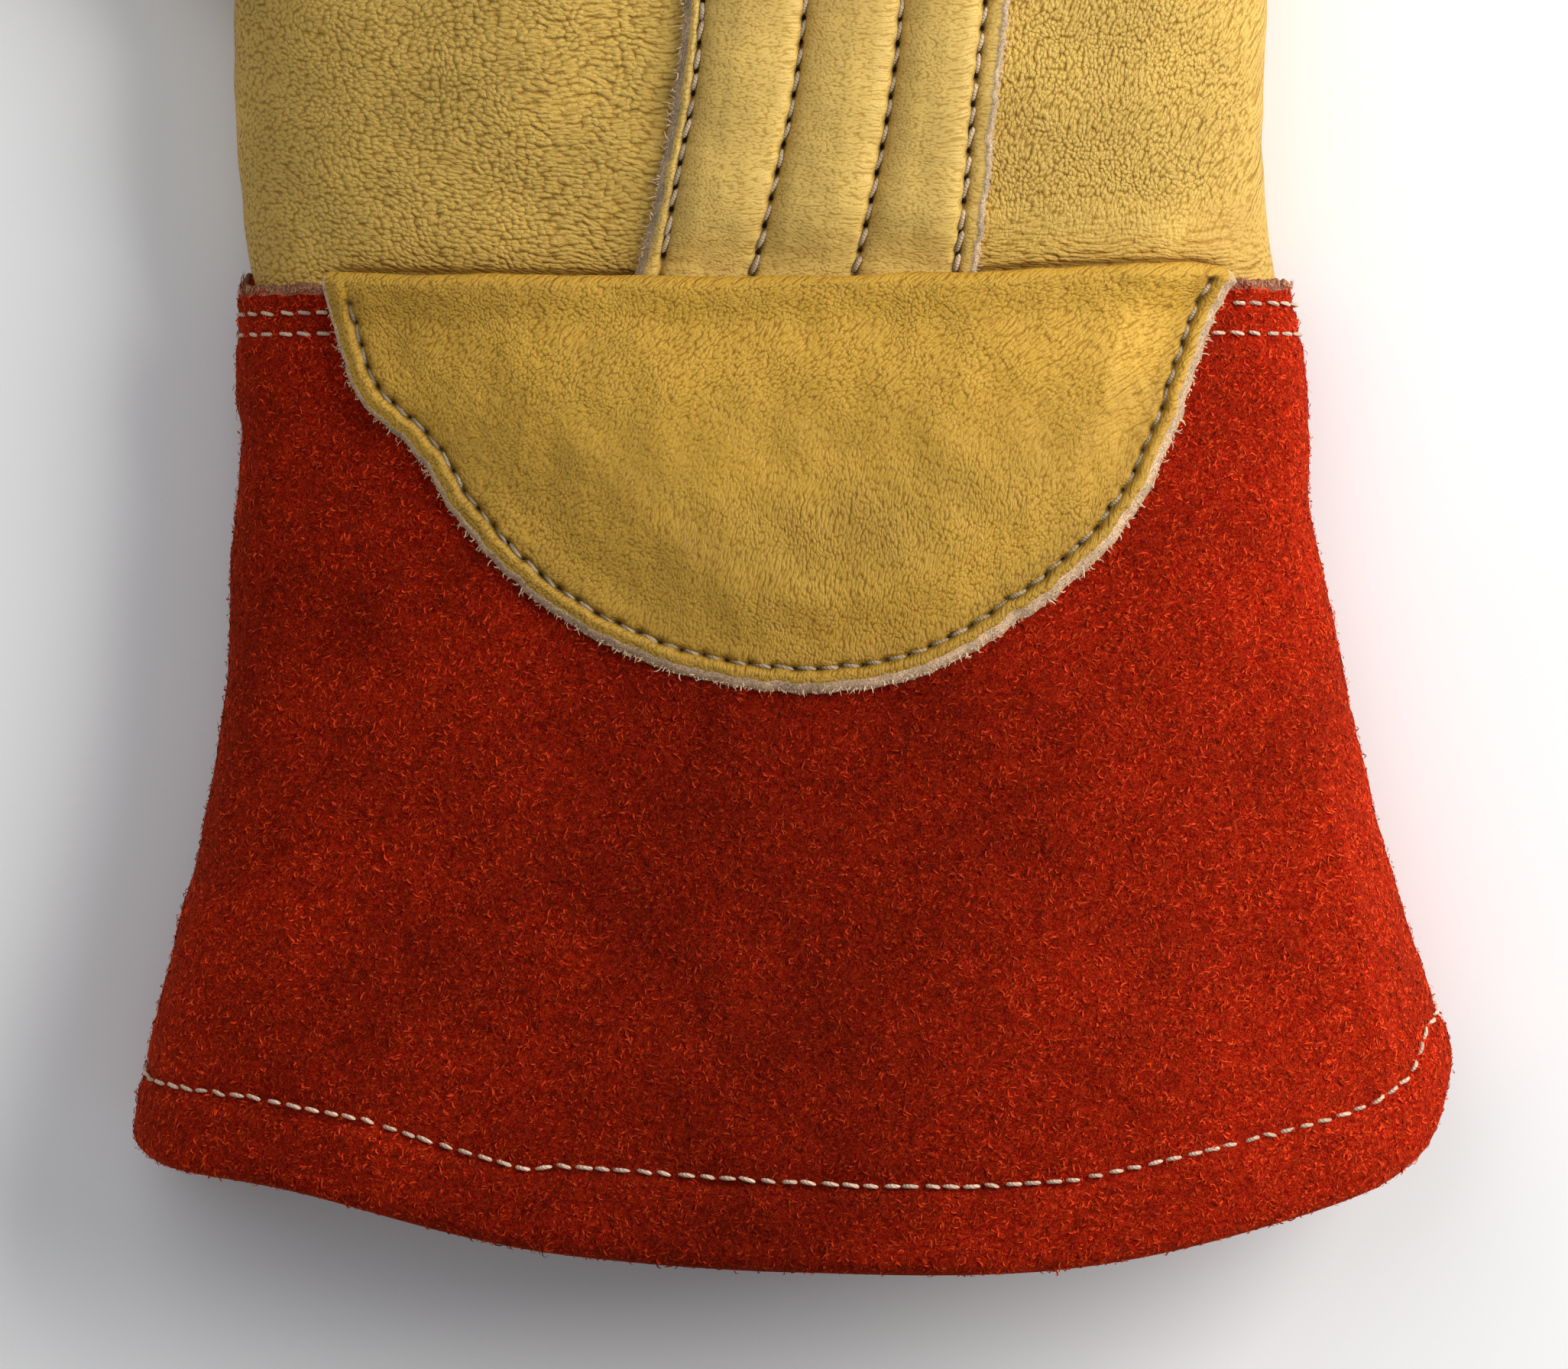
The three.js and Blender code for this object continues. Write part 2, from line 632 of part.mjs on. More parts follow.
function wristPatch() {
  const sheet = new Sheet("front");
  const below = (y) => cuffSection(Math.min(y, PATCH_LEVEL_END));
  const columns = Array.from({ length: PATCH_COLUMNS + 1 }, (_, c) => {
    const turn = mix(PATCH_ARC[0].turn, PATCH_ARC.at(-1).turn, c / PATCH_COLUMNS);
    const { radius } = read(PATCH_ARC, "turn", turn);
    const direction = new THREE.Vector2(Math.cos(turn * DEG), Math.sin(turn * DEG));
    const edge = PATCH_CENTRE.clone().addScaledVector(direction, radius);
    const share = (1 - Math.cos((Math.PI * c) / PATCH_COLUMNS)) / 2;
    const foldX = mix(PATCH_FOLD[0].x, PATCH_FOLD.at(-1).x, share);
    const fold = new THREE.Vector2(foldX, read(PATCH_FOLD, "x", foldX).y);
    const length = fold.distanceTo(edge);
    const along = edge.clone().sub(fold).divideScalar(length);
    const place = ([distance, height]) => {
      const spot = fold.clone().addScaledVector(along, distance);
      return laid(below, spot.x, spot.y, REST_GAP + height);
    };
    return patchProfile(length).map((step) => sheet.add(place(step.out), { inner: place(step.in) }));
  });
  for (let c = 0; c + 1 < columns.length; c += 1) sheet.join(columns[c], columns[c + 1]);
  return sheet.solid();
}

// The cuff, whose rows follow the hem at the bottom and lie level above it
function cuffPanel(face) {
  const sheet = new Sheet(face);
  const turns = columnTurns(face);
  const columns = turns.map((turn) => {
    const hem = read(HEM, "turn", turn).y;
    const hemTop = hem + HEM_DEPTH + HEM_STEP;
    return [
      { y: hem, wall: HEM_WALL },
      { y: hem + HEM_DEPTH, wall: HEM_WALL },
      { y: hemTop, wall: SUEDE },
      { y: (hemTop + CUFF_LEVELS[0]) / 2, wall: SUEDE },
      ...CUFF_LEVELS.map((y) => ({ y, wall: SUEDE })),
      { y: read(CUFF_TOP, "turn", turn).y, wall: SUEDE },
    ];
  });
  const rows = columns[0].map((_, i) => turns.map((turn, column) => {
    const { y, wall } = columns[column][i];
    const flat = sectionPoint(cuffSection(y), turn);
    const seam = column === 0 || column === turns.length - 1;
    return sheet.add(new THREE.Vector3(flat.x, y, flat.y), { wall, seam });
  }));
  for (let i = 0; i + 1 < rows.length; i += 1) sheet.join(rows[i], rows[i + 1]);
  return sheet.solid();
}

// Fitting the thumb: its walls end at the outside of the hand, and the hand is open into it

const hand = toManifold(handBody(GAP));
const mouth = toManifold(thumbMouth());
const sewnFronts = Object.entries(SEWN_FRONTS).map(
  ([finger, name]) => [name, [toManifold(fingerFront(Number(finger))), LEATHER_PALM]],
);
const pieces = {
  palm: [toManifold(handPanel("front")).subtract(mouth), LEATHER_PALM],
  ...Object.fromEntries(sewnFronts),
  hand_back: [toManifold(handPanel("back")).subtract(mouth), LEATHER_PALM],
  thumb_front: [toManifold(thumbPanel("front")).subtract(hand), LEATHER_PALM],
  thumb_back: [toManifold(thumbPanel("back")).subtract(hand), LEATHER_PALM],
  rib_strip: [toManifold(ribStrip()), LEATHER_STRIP],
  wrist_patch: [toManifold(wristPatch()), LEATHER_PATCH],
  cuff_front: [toManifold(cuffPanel("front")), SUEDE_RED],
  cuff_back: [toManifold(cuffPanel("back")), SUEDE_RED],
};

const glove = new THREE.Group();
for (const [name, [solid, finish]] of Object.entries(pieces)) {
  const mesh = new THREE.Mesh(fromManifold(solid), new THREE.MeshStandardMaterial(finish));
  mesh.name = name;
  glove.add(mesh);
}

export default glove;
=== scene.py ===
"""A leather protector glove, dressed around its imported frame: grain leather, suede, thread and cut edges.

Sizes are millimetres in the frame's own axes until a mesh is made, which turns them into metres. The
sheets follow the same cross-sections as the part: a crown over a widest line, and an underside that is
pressed flat. Turns run round a section in degrees, with 0 at its right edge and 90 on its crown.
"""

import math

import bpy
import mathutils
import numpy as np
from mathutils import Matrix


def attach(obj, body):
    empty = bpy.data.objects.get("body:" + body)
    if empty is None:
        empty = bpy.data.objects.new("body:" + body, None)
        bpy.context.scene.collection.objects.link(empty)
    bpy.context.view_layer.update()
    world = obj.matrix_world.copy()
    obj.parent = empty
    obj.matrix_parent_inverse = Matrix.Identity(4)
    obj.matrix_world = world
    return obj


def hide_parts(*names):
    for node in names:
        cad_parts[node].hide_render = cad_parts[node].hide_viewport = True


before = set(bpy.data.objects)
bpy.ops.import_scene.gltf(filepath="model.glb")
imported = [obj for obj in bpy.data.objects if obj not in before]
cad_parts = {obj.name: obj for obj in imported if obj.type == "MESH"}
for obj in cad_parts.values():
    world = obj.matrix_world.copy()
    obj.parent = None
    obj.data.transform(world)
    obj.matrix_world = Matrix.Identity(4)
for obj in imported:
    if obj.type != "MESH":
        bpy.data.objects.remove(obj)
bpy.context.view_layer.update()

bl_info = {
    "name": "Leather Protector Glove",
    "version": (1, 0, 0),
    "blender": (4, 5, 0),
    "location": "3D View > Sidebar > Glove",
    "description": "Makes a leather protector glove with a padded palm strip and a suede cuff",
    "category": "Add Mesh",
}

MM = 0.001  # metres in a millimetre


def table(columns, *rows):
    """A short table as one array for each named column."""
    return dict(zip(columns, np.array(rows, float).T))


# Walls and clearances
LEATHER = 1.4
SUEDE = 1.5
GAP = 0.1  # between two sheets along their seam
REST_GAP = 0.45  # under a piece that is sewn flat on another
TUCK = 2.1  # how much smaller the hand is inside the cuff
TUCK_DEPTH = 8

# Form of the cross-sections
FULLNESS = 0.82
ROUNDNESS = 0.9
FLATNESS = 0.45
PRESS = 0.5
SEAM_TURN = 20
SLOPE_STEP = 0.5
SEAM_DEPTH = 0.7  # how far the sheets turn in along a sewn seam
SEAM_REACH = 1.3  # and how far from the seam that starts

# The cuff from its hem to its top edge
CUFF = table(
    ["y", "left", "right", "top", "side"],
    [-125, -83.6, 90.0, 38.5, 12.0],
    [-106, -83.3, 89.6, 37.0, 11.6],
    [-94, -81.5, 88.8, 35.6, 11.4],
    [-80, -78.0, 84.0, 33.5, 11.2],
    [-62, -73.8, 78.4, 31.0, 11.0],
    [-42, -71.0, 74.4, 29.0, 10.8],
    [-25, -70.3, 71.3, 28.0, 10.6],
    [-14, -69.0, 70.5, 27.6, 10.5],
    [-9.5, -69.8, 70.4, 27.5, 10.5],
    [2, -69.9, 69.3, 27.2, 10.5],
    [5.5, -69.6, 68.6, 27.0, 10.5],
)
CUFF_TOP = table(["turn", "y"], [-35, 5.5], [30, 5.5], [150, 4.8], [215, 4.8], [360, 5.5])
HEM = table(
    ["turn", "y"],
    [-35, -96.5],
    [0, -97.5],
    [20, -108.7],
    [45, -116.6],
    [75, -123.5],
    [105, -121.3],
    [135, -113.2],
    [160, -110.2],
    [180, -107.3],
    [215, -104.5],
    [270, -112.0],
    [325, -96.5],
    [360, -97.5],
)
HEM_WALL = 3.0
HEM_ROUND = 1.5  # height over which the hem closes in a half circle
HEM_DEPTH = 11  # height of the turned-in hem
CUFF_STEP = 1.15  # spacing of the cuff's rows and columns

# The hem's row of stitches, seen from above
HEM_ROW = table(
    ["x", "y"],
    [-81.3, -98.8],
    [-67.3, -100.9],
    [-52.7, -103.7],
    [-39.4, -107.9],
    [-31.6, -110.1],
    [-27.4, -109.6],
    [-15.7, -110.4],
    [-0.7, -111.5],
    [12.0, -112.2],
    [25.8, -112.3],
    [39.3, -111.5],
    [50.2, -109.2],
    [62.9, -106.2],
    [74.4, -103.3],
    [79.7, -101.2],
    [83.5, -98.4],
    [85.8, -92.3],
    [87.1, -90.6],
)
TOP_ROWS = table(
    ["turn", "upper", "lower"], [-35, 2.7, -1.1], [40, 2.8, -1.1], [140, 1.6, -1.2], [215, 1.5, -1.3]
)
ROW_GROOVE = 0.35  # how far a row of stitches draws the suede in
ROW_REACH = 1.1

# The ridge down the cuff's right side, and the short scratch low on its front
RIDGE = table(
    ["x", "y", "rise"], [80, -102, 0.6], [78.5, -92, 2.2], [74.5, -72, 2.6], [70.5, -52, 1.6], [69, -38, 0]
)
RIDGE_REACH = (9, 4)  # to its left and to its right
SCRATCH = ((-33.9, -86.6), (-31.0, -92.4))


def read(rows, key, at):
    """Every column of a table at places between its rows: cubics through the rows, where a row's slope is
    taken between its two neighbours, held level beyond the ends."""
    keys = rows[key]
    last = len(keys) - 1
    place = np.clip(at, keys[0], keys[-1])
    i = np.clip(np.searchsorted(keys, place) - 1, 0, last - 1)
    low = np.maximum(np.arange(last + 1) - 1, 0)
    high = np.minimum(np.arange(last + 1) + 1, last)
    width = keys[i + 1] - keys[i]
    t = (place - keys[i]) / width
    result = {}
    for name, values in rows.items():
        slopes = (values[high] - values[low]) / (keys[high] - keys[low])
        rise = values[i + 1] - values[i]
        first, second = slopes[i] * width, slopes[i + 1] * width
        result[name] = (
            values[i] + t * first + t**2 * (3 * rise - 2 * first - second) + t**3 * (first + second - 2 * rise)
        )
    return result


def mix(a, b, share):
    return a + (b - a) * share


def smooth(share):
    """0 below 0, 1 above 1, and a cubic with level ends between them."""
    t = np.clip(share, 0, 1)
    return t * t * (3 - 2 * t)


def bump(distance, reach):
    """A bell: the exponential of minus the square of distance / reach."""
    return np.exp(-((distance / reach) ** 2))


# Cross-sections


def section(row, power=FULLNESS):
    """A section from its left and right edges, crown height, widest line and floor."""
    floor = row.get("floor", np.zeros_like(row["top"]))
    middle, half = (row["left"] + row["right"]) / 2, (row["right"] - row["left"]) / 2
    section = {"middle": middle, "half": half, "top": row["top"], "side": row["side"]}
    return {**section, "floor": floor, "power": power}


def section_point(shape, turn):
    """x and z at a turn. x is a power of the cosine, z above the widest line is the same power of the
    sine, and below it the side drops by a smaller power of the sine until it meets the floor."""
    across, rise = np.cos(np.radians(turn)), np.sin(np.radians(turn))
    x = shape["middle"] + shape["half"] * np.sign(across) * np.abs(across) ** shape["power"]
    over = shape["side"] + (shape["top"] - shape["side"]) * np.maximum(rise, 0) ** shape["power"]
    drop = (shape["side"] - shape["floor"] + PRESS) * np.maximum(-rise, 0) ** FLATNESS
    return x, np.where(rise >= 0, over, np.maximum(shape["floor"], shape["side"] - drop))


def turn_over(shape, x):
    """The turn at which the crown of a section passes over x: the inverse of its power of the cosine."""
    across = np.clip((x - shape["middle"]) / shape["half"], -1, 1)
    return np.degrees(np.arccos(np.sign(across) * np.abs(across) ** (1 / shape["power"])))


def even_turns(shape, start, end, count):
    """Turns that divide a stretch of a section into steps of equal length."""
    turns = np.linspace(start, end, 600)
    x, z = section_point(shape, turns)
    length = np.concatenate([[0], np.cumsum(np.hypot(np.diff(x), np.diff(z)))])
    return np.interp(np.linspace(0, length[-1], count + 1), length, turns)


def cuff_section(y):
    return section(read(CUFF, "y", y))


def tucked(y):
    """A row of the hand where it lies inside the cuff."""
    cuff = {name: float(value) for name, value in read(CUFF, "y", y).items()}
    return [y, cuff["left"] + TUCK, cuff["right"] - TUCK, cuff["top"] - TUCK, cuff["side"], TUCK]


HAND = table(
    ["y", "left", "right", "top", "side", "floor"],
    tucked(-TUCK_DEPTH),
    tucked(4.5),
    [8, -68.4, 66.1, 25.4, 10.2, 1.0],
    [14, -69.4, 65.1, 27.0, 10.0, 0],
    [26, -70.3, 64.7, 28.4, 10.0, 0],
    [42.5, -70.5, 65.2, 29.0, 10.0, 0],
    [62, -68.5, 66.8, 28.4, 10.0, 0],
    [84, -63.0, 69.2, 26.4, 9.4, 0],
    [114, -58.5, 70.5, 22.5, 8.0, 0],
)
KNUCKLES = 110  # level of the row that the fingers grow from, before it bends to the crotches
KNUCKLE_BEND = 50  # length below it over which the rows bend
ARCH_BLEND = 26  # length below it over which one crown turns into four
COLUMN_LEVEL = 62  # level at which the columns are spaced evenly
CROTCH = table(["x", "y"], [-58.5, 104], [-26.5, 112], [7, 114], [40.5, 107], [70.5, 97])
FINGERS = table(
    ["tip_x", "tip_y", "tip_half"], [-50, 188, 13.6], [-8, 205, 14.2], [31, 196, 14.0], [70, 172, 12.6]
)
FINGER_TOP = 22.5  # crown height at the root
FINGER_FALL = 3.5  # how much lower it is at the tip
FINGER_SIDE = 7.5  # height of the widest line
FINGER_CAP = 14  # length of the rounded tip
CAP_ROWS = 9  # rows of a rounded tip
LIFT = 7  # how far the fingertips rise off the surface
LIFT_START = 90
LIFT_LENGTH = 115
JOINTS = (0.05, 0.36, 0.66)  # creases across a finger, as shares of its length

THUMB_ROOT = (-54, 56)
THUMB_TURN = 46  # how far it points away from the fingers, in degrees
THUMB = table(
    ["along", "half", "top", "side", "floor"],
    [-24, 15.5, 18.0, 10.5, 4.5],
    [0, 19.0, 22.4, 10.5, 2.6],
    [20, 19.0, 24.0, 10.4, 0.7],
    [40, 17.8, 23.8, 10.2, 0],
    [60, 16.8, 23.0, 9.9, 0],
    [77, 15.8, 21.4, 9.6, 0],
)
THUMB_CAP = 13
THUMB_LIFT = 4
THUMB_LIFT_START = 20

STRIP = table(
    ["y", "left_edge", "line1", "line2", "line3", "line4", "right_edge"],
    [5.9, -17.6, -14.5, -2.5, 10.8, 24.0, 26.8],
    [19, -14.4, -12.1, 0.7, 13.7, 25.4, 28.5],
    [30, -12.4, -10.0, 3.1, 15.7, 26.4, 29.6],
    [42.5, -11.1, -8.7, 4.6, 17.1, 27.9, 31.1],
    [84, -7.8, -5.4, 7.4, 19.8, 31.2, 34.4],
)
STRIP_WALL = 1.3
STRIP_PUFF = 1.8  # how far the padding raises a channel
PUFF_START = 7  # level at which the padding starts
PUFF_FULL = 16  # level from which it is full
STRIP_PITCHES = (3.0, 3.3, 3.3, 3.2)
STRIP_END = 84
CROSS_LINE = 81.5  # the row of stitches that closes the channels

PATCH_CENTRE = (1.5, 5)
PATCH_ARC = table(
    ["turn", "radius"],
    [178.4, 59.5],
    [185, 58.6],
    [195, 57.1],
    [204, 52.8],
    [215, 52.1],
    [235, 52.1],
    [255, 52.4],
    [270, 53.0],
    [290, 54.1],
    [305, 53.7],
    [325, 54.7],
    [345, 54.9],
    [355, 56.3],
    [361.9, 59.1],
)
PATCH_FOLD = table(["x", "y"], [-58, 6.7], [-16, 6.1], [-2, 5.9], [24, 6.7], [55, 8.0], [60.6, 7.0])
PATCH_WALL = 1.3
PATCH_PUFF = 2.2  # how far the middle of the patch stands off the cuff
PATCH_LINE = 3.0  # from the cut edge in to the stitches
PATCH_BAND = 5.2  # from the cut edge in to the smooth middle
PATCH_PITCH = 3.0
FOLD_RADIUS = 1.6
FOLD_REACH = 5.5  # length over which the patch rises to its fold
TONGUE = 6  # length that is folded under
PATCH_LEVEL_END = 5  # the patch runs level past this height of the cuff


def hand_section(y):
    return section(read(HAND, "y", y))


def lift(y):
    """How far the fingers rise: the square of the share of the way from the knuckles to the longest tip."""
    return LIFT * (np.maximum(0, y - LIFT_START) / LIFT_LENGTH) ** 2


def ripple(x, y, wavelength, seed, waves=7):
    """Soft random undulation from -1 to 1: a mean of cosine waves in random directions, whose lengths lie
    within a third of the one given."""
    rng = np.random.default_rng(seed)
    total = np.zeros(np.broadcast(x, y).shape)
    for _ in range(waves):
        angle, phase = rng.uniform(0, math.tau, 2)
        pace = math.tau / (wavelength * rng.uniform(0.7, 1.4))
        total += np.cos((x * math.cos(angle) + y * math.sin(angle)) * pace + phase)
    return total / math.sqrt(waves * 2)


# Meshes


def normals_of(points, quads, triangles=None):
    """Each point's normal: the sum of the area vectors of its faces, scaled to length 1."""
    faces = [quads[:, [0, 1, 2]], quads[:, [0, 2, 3]]]
    if triangles is not None and len(triangles):
        faces.append(triangles)
    faces = np.concatenate(faces)
    a, b, c = (points[faces[:, k]] for k in range(3))
    area = np.cross(b - a, c - a)
    total = np.stack(
        [np.bincount(faces.ravel(), np.repeat(area[:, k], 3), len(points)) for k in range(3)], axis=1
    )
    return total / np.maximum(np.linalg.norm(total, axis=1, keepdims=True), 1e-12)


def grid_quads(index):
    """The faces between neighbouring rows and columns of a grid of point numbers."""
    return np.stack([index[:-1, :-1], index[:-1, 1:], index[1:, 1:], index[1:, :-1]], axis=-1).reshape(-1, 4)


def thick(points, inner, quads, triangles=None):
    """A closed wall: the outer sheet, the same faces turned round on the inner points, and a face along
    each edge that only one face of the sheet uses."""
    triangles = np.zeros((0, 3), int) if triangles is None else triangles
    count = len(points)
    edges = np.concatenate(
        [quads[:, [k, (k + 1) % 4]] for k in range(4)] + [triangles[:, [k, (k + 1) % 3]] for k in range(3)]
    )
    one_way = edges[:, 0] * count + edges[:, 1]
    other_way = edges[:, 1] * count + edges[:, 0]
    rim = edges[~np.isin(one_way, other_way)]
    walls = np.stack([rim[:, 1], rim[:, 0], rim[:, 0] + count, rim[:, 1] + count], axis=1)
    all_quads = np.concatenate([quads, quads[:, ::-1] + count, walls])
    return np.concatenate([points, inner]), all_quads, np.concatenate([triangles, triangles[:, ::-1] + count])


def make_piece(
    name, points, quads, triangles, replaces, finishes, finish_of=None, marks=None, chart=None
):
    """Puts arrays into a mesh in metres and ties the object to the frame. finish_of gives each face's
    finish, marks are attributes of the points, and chart is the points' place on the baking map."""
    triangles = np.zeros((0, 3), int) if triangles is None else triangles
    mesh = bpy.data.meshes.new(name)
    corners = np.concatenate([quads.ravel(), triangles.ravel()]).astype(np.int32)
    starts = np.concatenate([np.arange(len(quads)) * 4, len(quads) * 4 + np.arange(len(triangles)) * 3])
    mesh.vertices.add(len(points))
    mesh.vertices.foreach_set("co", (points * MM).astype(np.float32).ravel())
    mesh.loops.add(len(corners))
    mesh.loops.foreach_set("vertex_index", corners)
    mesh.polygons.add(len(starts))
    mesh.polygons.foreach_set("loop_start", starts.astype(np.int32))
    mesh.update(calc_edges=True)
    mesh.polygons.foreach_set("use_smooth", np.ones(len(starts), bool))
    for finish in finishes:
        mesh.materials.append(finish)
    if finish_of is not None:
        mesh.polygons.foreach_set("material_index", finish_of.astype(np.int32))
    for mark, values in (marks or {}).items():
        layer = mesh.attributes.new(mark, "FLOAT", "POINT")
        layer.data.foreach_set("value", values.astype(np.float32))
    if chart is not None:
        layer = mesh.uv_layers.new(name="OFBake")
        layer.uv.foreach_set("vector", chart[corners].astype(np.float32).ravel())
    mesh.validate()
    piece = bpy.data.objects.new(name, mesh)
    bpy.context.scene.collection.objects.link(piece)
    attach(piece, "root")
    if replaces:
        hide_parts(*replaces)
    return piece


# Finishes

# The grain: two bends as the size of their noise and its reach, then heights from 0 to 1
GRAIN_BENDS = ((9, 2.4), (1.3, 0.4))
PEBBLE_HEIGHT = 0.65  # at a pebble's middle
PEBBLE_FALL = 1.4  # at a cell's width from it
FINE_SIZE = 0.92  # of the finer noise, as a share of a pebble
FINE_HEIGHT = 0.35
STRIP_WRINKLE = 0.2  # depth of the strip's grain, as a share of the hand's
PATCH_WRINKLE = 0.48

# Shares of red, green and blue that the leather's colour keeps
# Painted shade in the valleys of the grain
VALLEY_SHADE = (0.76, 0.67, 0.5)  # in the valleys of the grain
# Painted shade in creases, seams, stitch grooves and slopes turned from the light
GROOVE_SHADE = (0.62, 0.52, 0.35)
STAINED = (0.8, 0.66, 0.55)

# And that the colour of the cut edges keeps
PATCH_EDGE = (1.2, 1.12, 1.08)
CUFF_EDGE = (0.68, 0.31, 0.27)
SEAM_EDGE = (0.44, 0.24, 0.22)
LEATHER_FIBRES = (1.1, 1.1, 1.1)
CUFF_FIBRES = (0.74, 0.46, 0.4)


class Recipe:
    """A material's node tree, with one short call for each kind of node that the finishes share."""

    def __init__(self, name):
        self.material = bpy.data.materials.new(name)
        self.material.use_nodes = True
        self.tree = self.material.node_tree
        self.tree.nodes.clear()
        place = self.node("ShaderNodeTexCoord")["Object"]
        self.place = self.node("ShaderNodeMapping", {"Vector": place, "Scale": (1000, 1000, 1000)})["Vector"]

    def node(self, kind, inputs=None, **settings):
        """Makes a node and returns its outputs. An input is a number, a colour or another node's output."""
        made = self.tree.nodes.new(kind)
        for setting, value in settings.items():
            setattr(made, setting, value)
        for name, value in (inputs or {}).items():
            if isinstance(value, bpy.types.NodeSocket):
                self.tree.links.new(value, made.inputs[name])
            else:
                made.inputs[name].default_value = value
        return made.outputs

    def maths(self, operation, first, second=0.0):
        return self.node("ShaderNodeMath", {0: first, 1: second}, operation=operation)[0]

    def noise(self, size, detail=2.0, roughness=0.5, distortion=0.0, place=None):
        """Noise whose features are about size millimetres across."""
        inputs = {
            "Vector": place or self.place,
            "Scale": 1 / size,
            "Detail": detail,
            "Roughness": roughness,
            "Distortion": distortion,
        }
        return self.node("ShaderNodeTexNoise", inputs)["Fac"]

    def spread(self, value, low, high, bottom=0.0, top=1.0):
        """Maps a value from low..high to bottom..top, held at both ends."""
        inputs = {"Value": value, "From Min": low, "From Max": high, "To Min": bottom, "To Max": top}
        return self.node("ShaderNodeMapRange", inputs)["Result"]

    def mark(self, name):
        """A number that the mesh carries at its points."""
        return self.node("ShaderNodeAttribute", attribute_name=name)["Fac"]

    def axis(self, name):
        """One coordinate of the place on the object, in millimetres."""
        return self.node("ShaderNodeSeparateXYZ", {"Vector": self.place})[name]

    def blend(self, share, first, second, mode="MIX"):
        """A mix of two colours."""
        return self.node(
            "ShaderNodeMix", {0: share, 6: first, 7: second}, data_type="RGBA", blend_type=mode
        )[2]

    def tint(self, colour, factor):
        """A colour times a number."""
        colour = colour[:3] if isinstance(colour, tuple) else colour
        return self.node("ShaderNodeVectorMath", {0: colour, "Scale": factor}, operation="SCALE")[0]

    def finish(self, colour, roughness, height, depth, **settings):
        """The surface itself. depth is the height in millimetres that the bump stands for."""
        normal = self.node("ShaderNodeBump", {"Height": height, "Distance": depth * MM})["Normal"]
        inputs = {"Base Color": colour, "Roughness": roughness, "Normal": normal}
        made = self.node("ShaderNodeBsdfPrincipled", inputs)
        shader = made["BSDF"].node
        for name, value in settings.items():
            shader.inputs[name.replace("_", " ")].default_value = value
        self.node("ShaderNodeOutputMaterial", {"Surface": made["BSDF"]})
        return self.material


def tone(colour, factor):
    """A colour made lighter or darker."""
    return (*(min(1.0, c * factor) for c in colour[:3]), 1.0)


def shaded(colour, shares):
    """A colour of which each part keeps its own share."""
    return (*(part * share for part, share in zip(colour, shares)), 1.0)


def grain(recipe, turn, size, along):
    """The height of a wrinkled grain that runs at a turn, from about 0 in its valleys to 1 on its ridges.
    Most of it is pebbles drawn out along the grain, which fall by the square of the distance from their
    middles to sharp valleys. The height over the floor counts as part of x, so they go on down the walls.
    The rest is finer noise drawn out alike. Slow and quick noise bend it all a little."""
    moved = recipe.place
    for pace, reach in GRAIN_BENDS:
        wavy = {"Vector": recipe.place, "Scale": 1 / pace, "Detail": 1.0}
        bend = recipe.node("ShaderNodeTexNoise", wavy)["Color"]
        moved = recipe.node(
            "ShaderNodeVectorMath", {0: bend, 1: (reach, reach, reach), 2: moved}, operation="MULTIPLY_ADD"
        )[0]
    rotation = (0, 0, -math.radians(turn))
    turned = recipe.node("ShaderNodeMapping", {"Vector": moved, "Rotation": rotation})["Vector"]
    place = recipe.node("ShaderNodeMapping", {"Vector": turned, "Scale": (1 / along, 1, 1)})["Vector"]
    parts = recipe.node("ShaderNodeSeparateXYZ", {"Vector": place})
    plane = {"X": recipe.maths("ADD", parts["X"], parts["Z"]), "Y": parts["Y"]}
    cells = {"Vector": recipe.node("ShaderNodeCombineXYZ", plane)["Vector"], "Scale": 1 / size}
    away = recipe.node("ShaderNodeTexVoronoi", cells, feature="F1", voronoi_dimensions="2D")["Distance"]
    fall = recipe.maths("MULTIPLY", recipe.maths("MULTIPLY", away, away), PEBBLE_FALL)
    pebbles = recipe.maths("SUBTRACT", PEBBLE_HEIGHT, fall)
    noise = recipe.noise(size * FINE_SIZE, 2.0, place=place)
    fine = {"Value": noise, "From Min": 0.34, "From Max": 0.6, "To Max": FINE_HEIGHT}
    rounded = recipe.node("ShaderNodeMapRange", fine, interpolation_type="SMOOTHSTEP")[0]
    return recipe.maths("ADD", pebbles, rounded)


def hand_leather(colour, depth):
    """The hand's leather: its wrinkles lie level on the thumb's side and near the wrist, and stand nearly
    upright on the other side."""
    recipe = Recipe("hand grain leather")
    level = grain(recipe, 5, 0.56, 2.3)
    upright = grain(recipe, 74, 0.48, 1.4)
    side = recipe.spread(recipe.axis("X"), 4, 20)
    high = recipe.spread(recipe.axis("Y"), 8, 18)
    height = recipe.node("ShaderNodeMix", {0: recipe.maths("MULTIPLY", side, high), 2: level, 3: upright})[0]
    return dressed(recipe, colour, height, depth, 0.52)


def strip_leather(colour, depth):
    """The strip's leather: a finer and shallower grain, with short crinkles across the channels."""
    recipe = Recipe("strip grain leather")
    height = grain(recipe, 8, 0.32, 2.0)
    return dressed(recipe, colour, height, depth, 0.47)


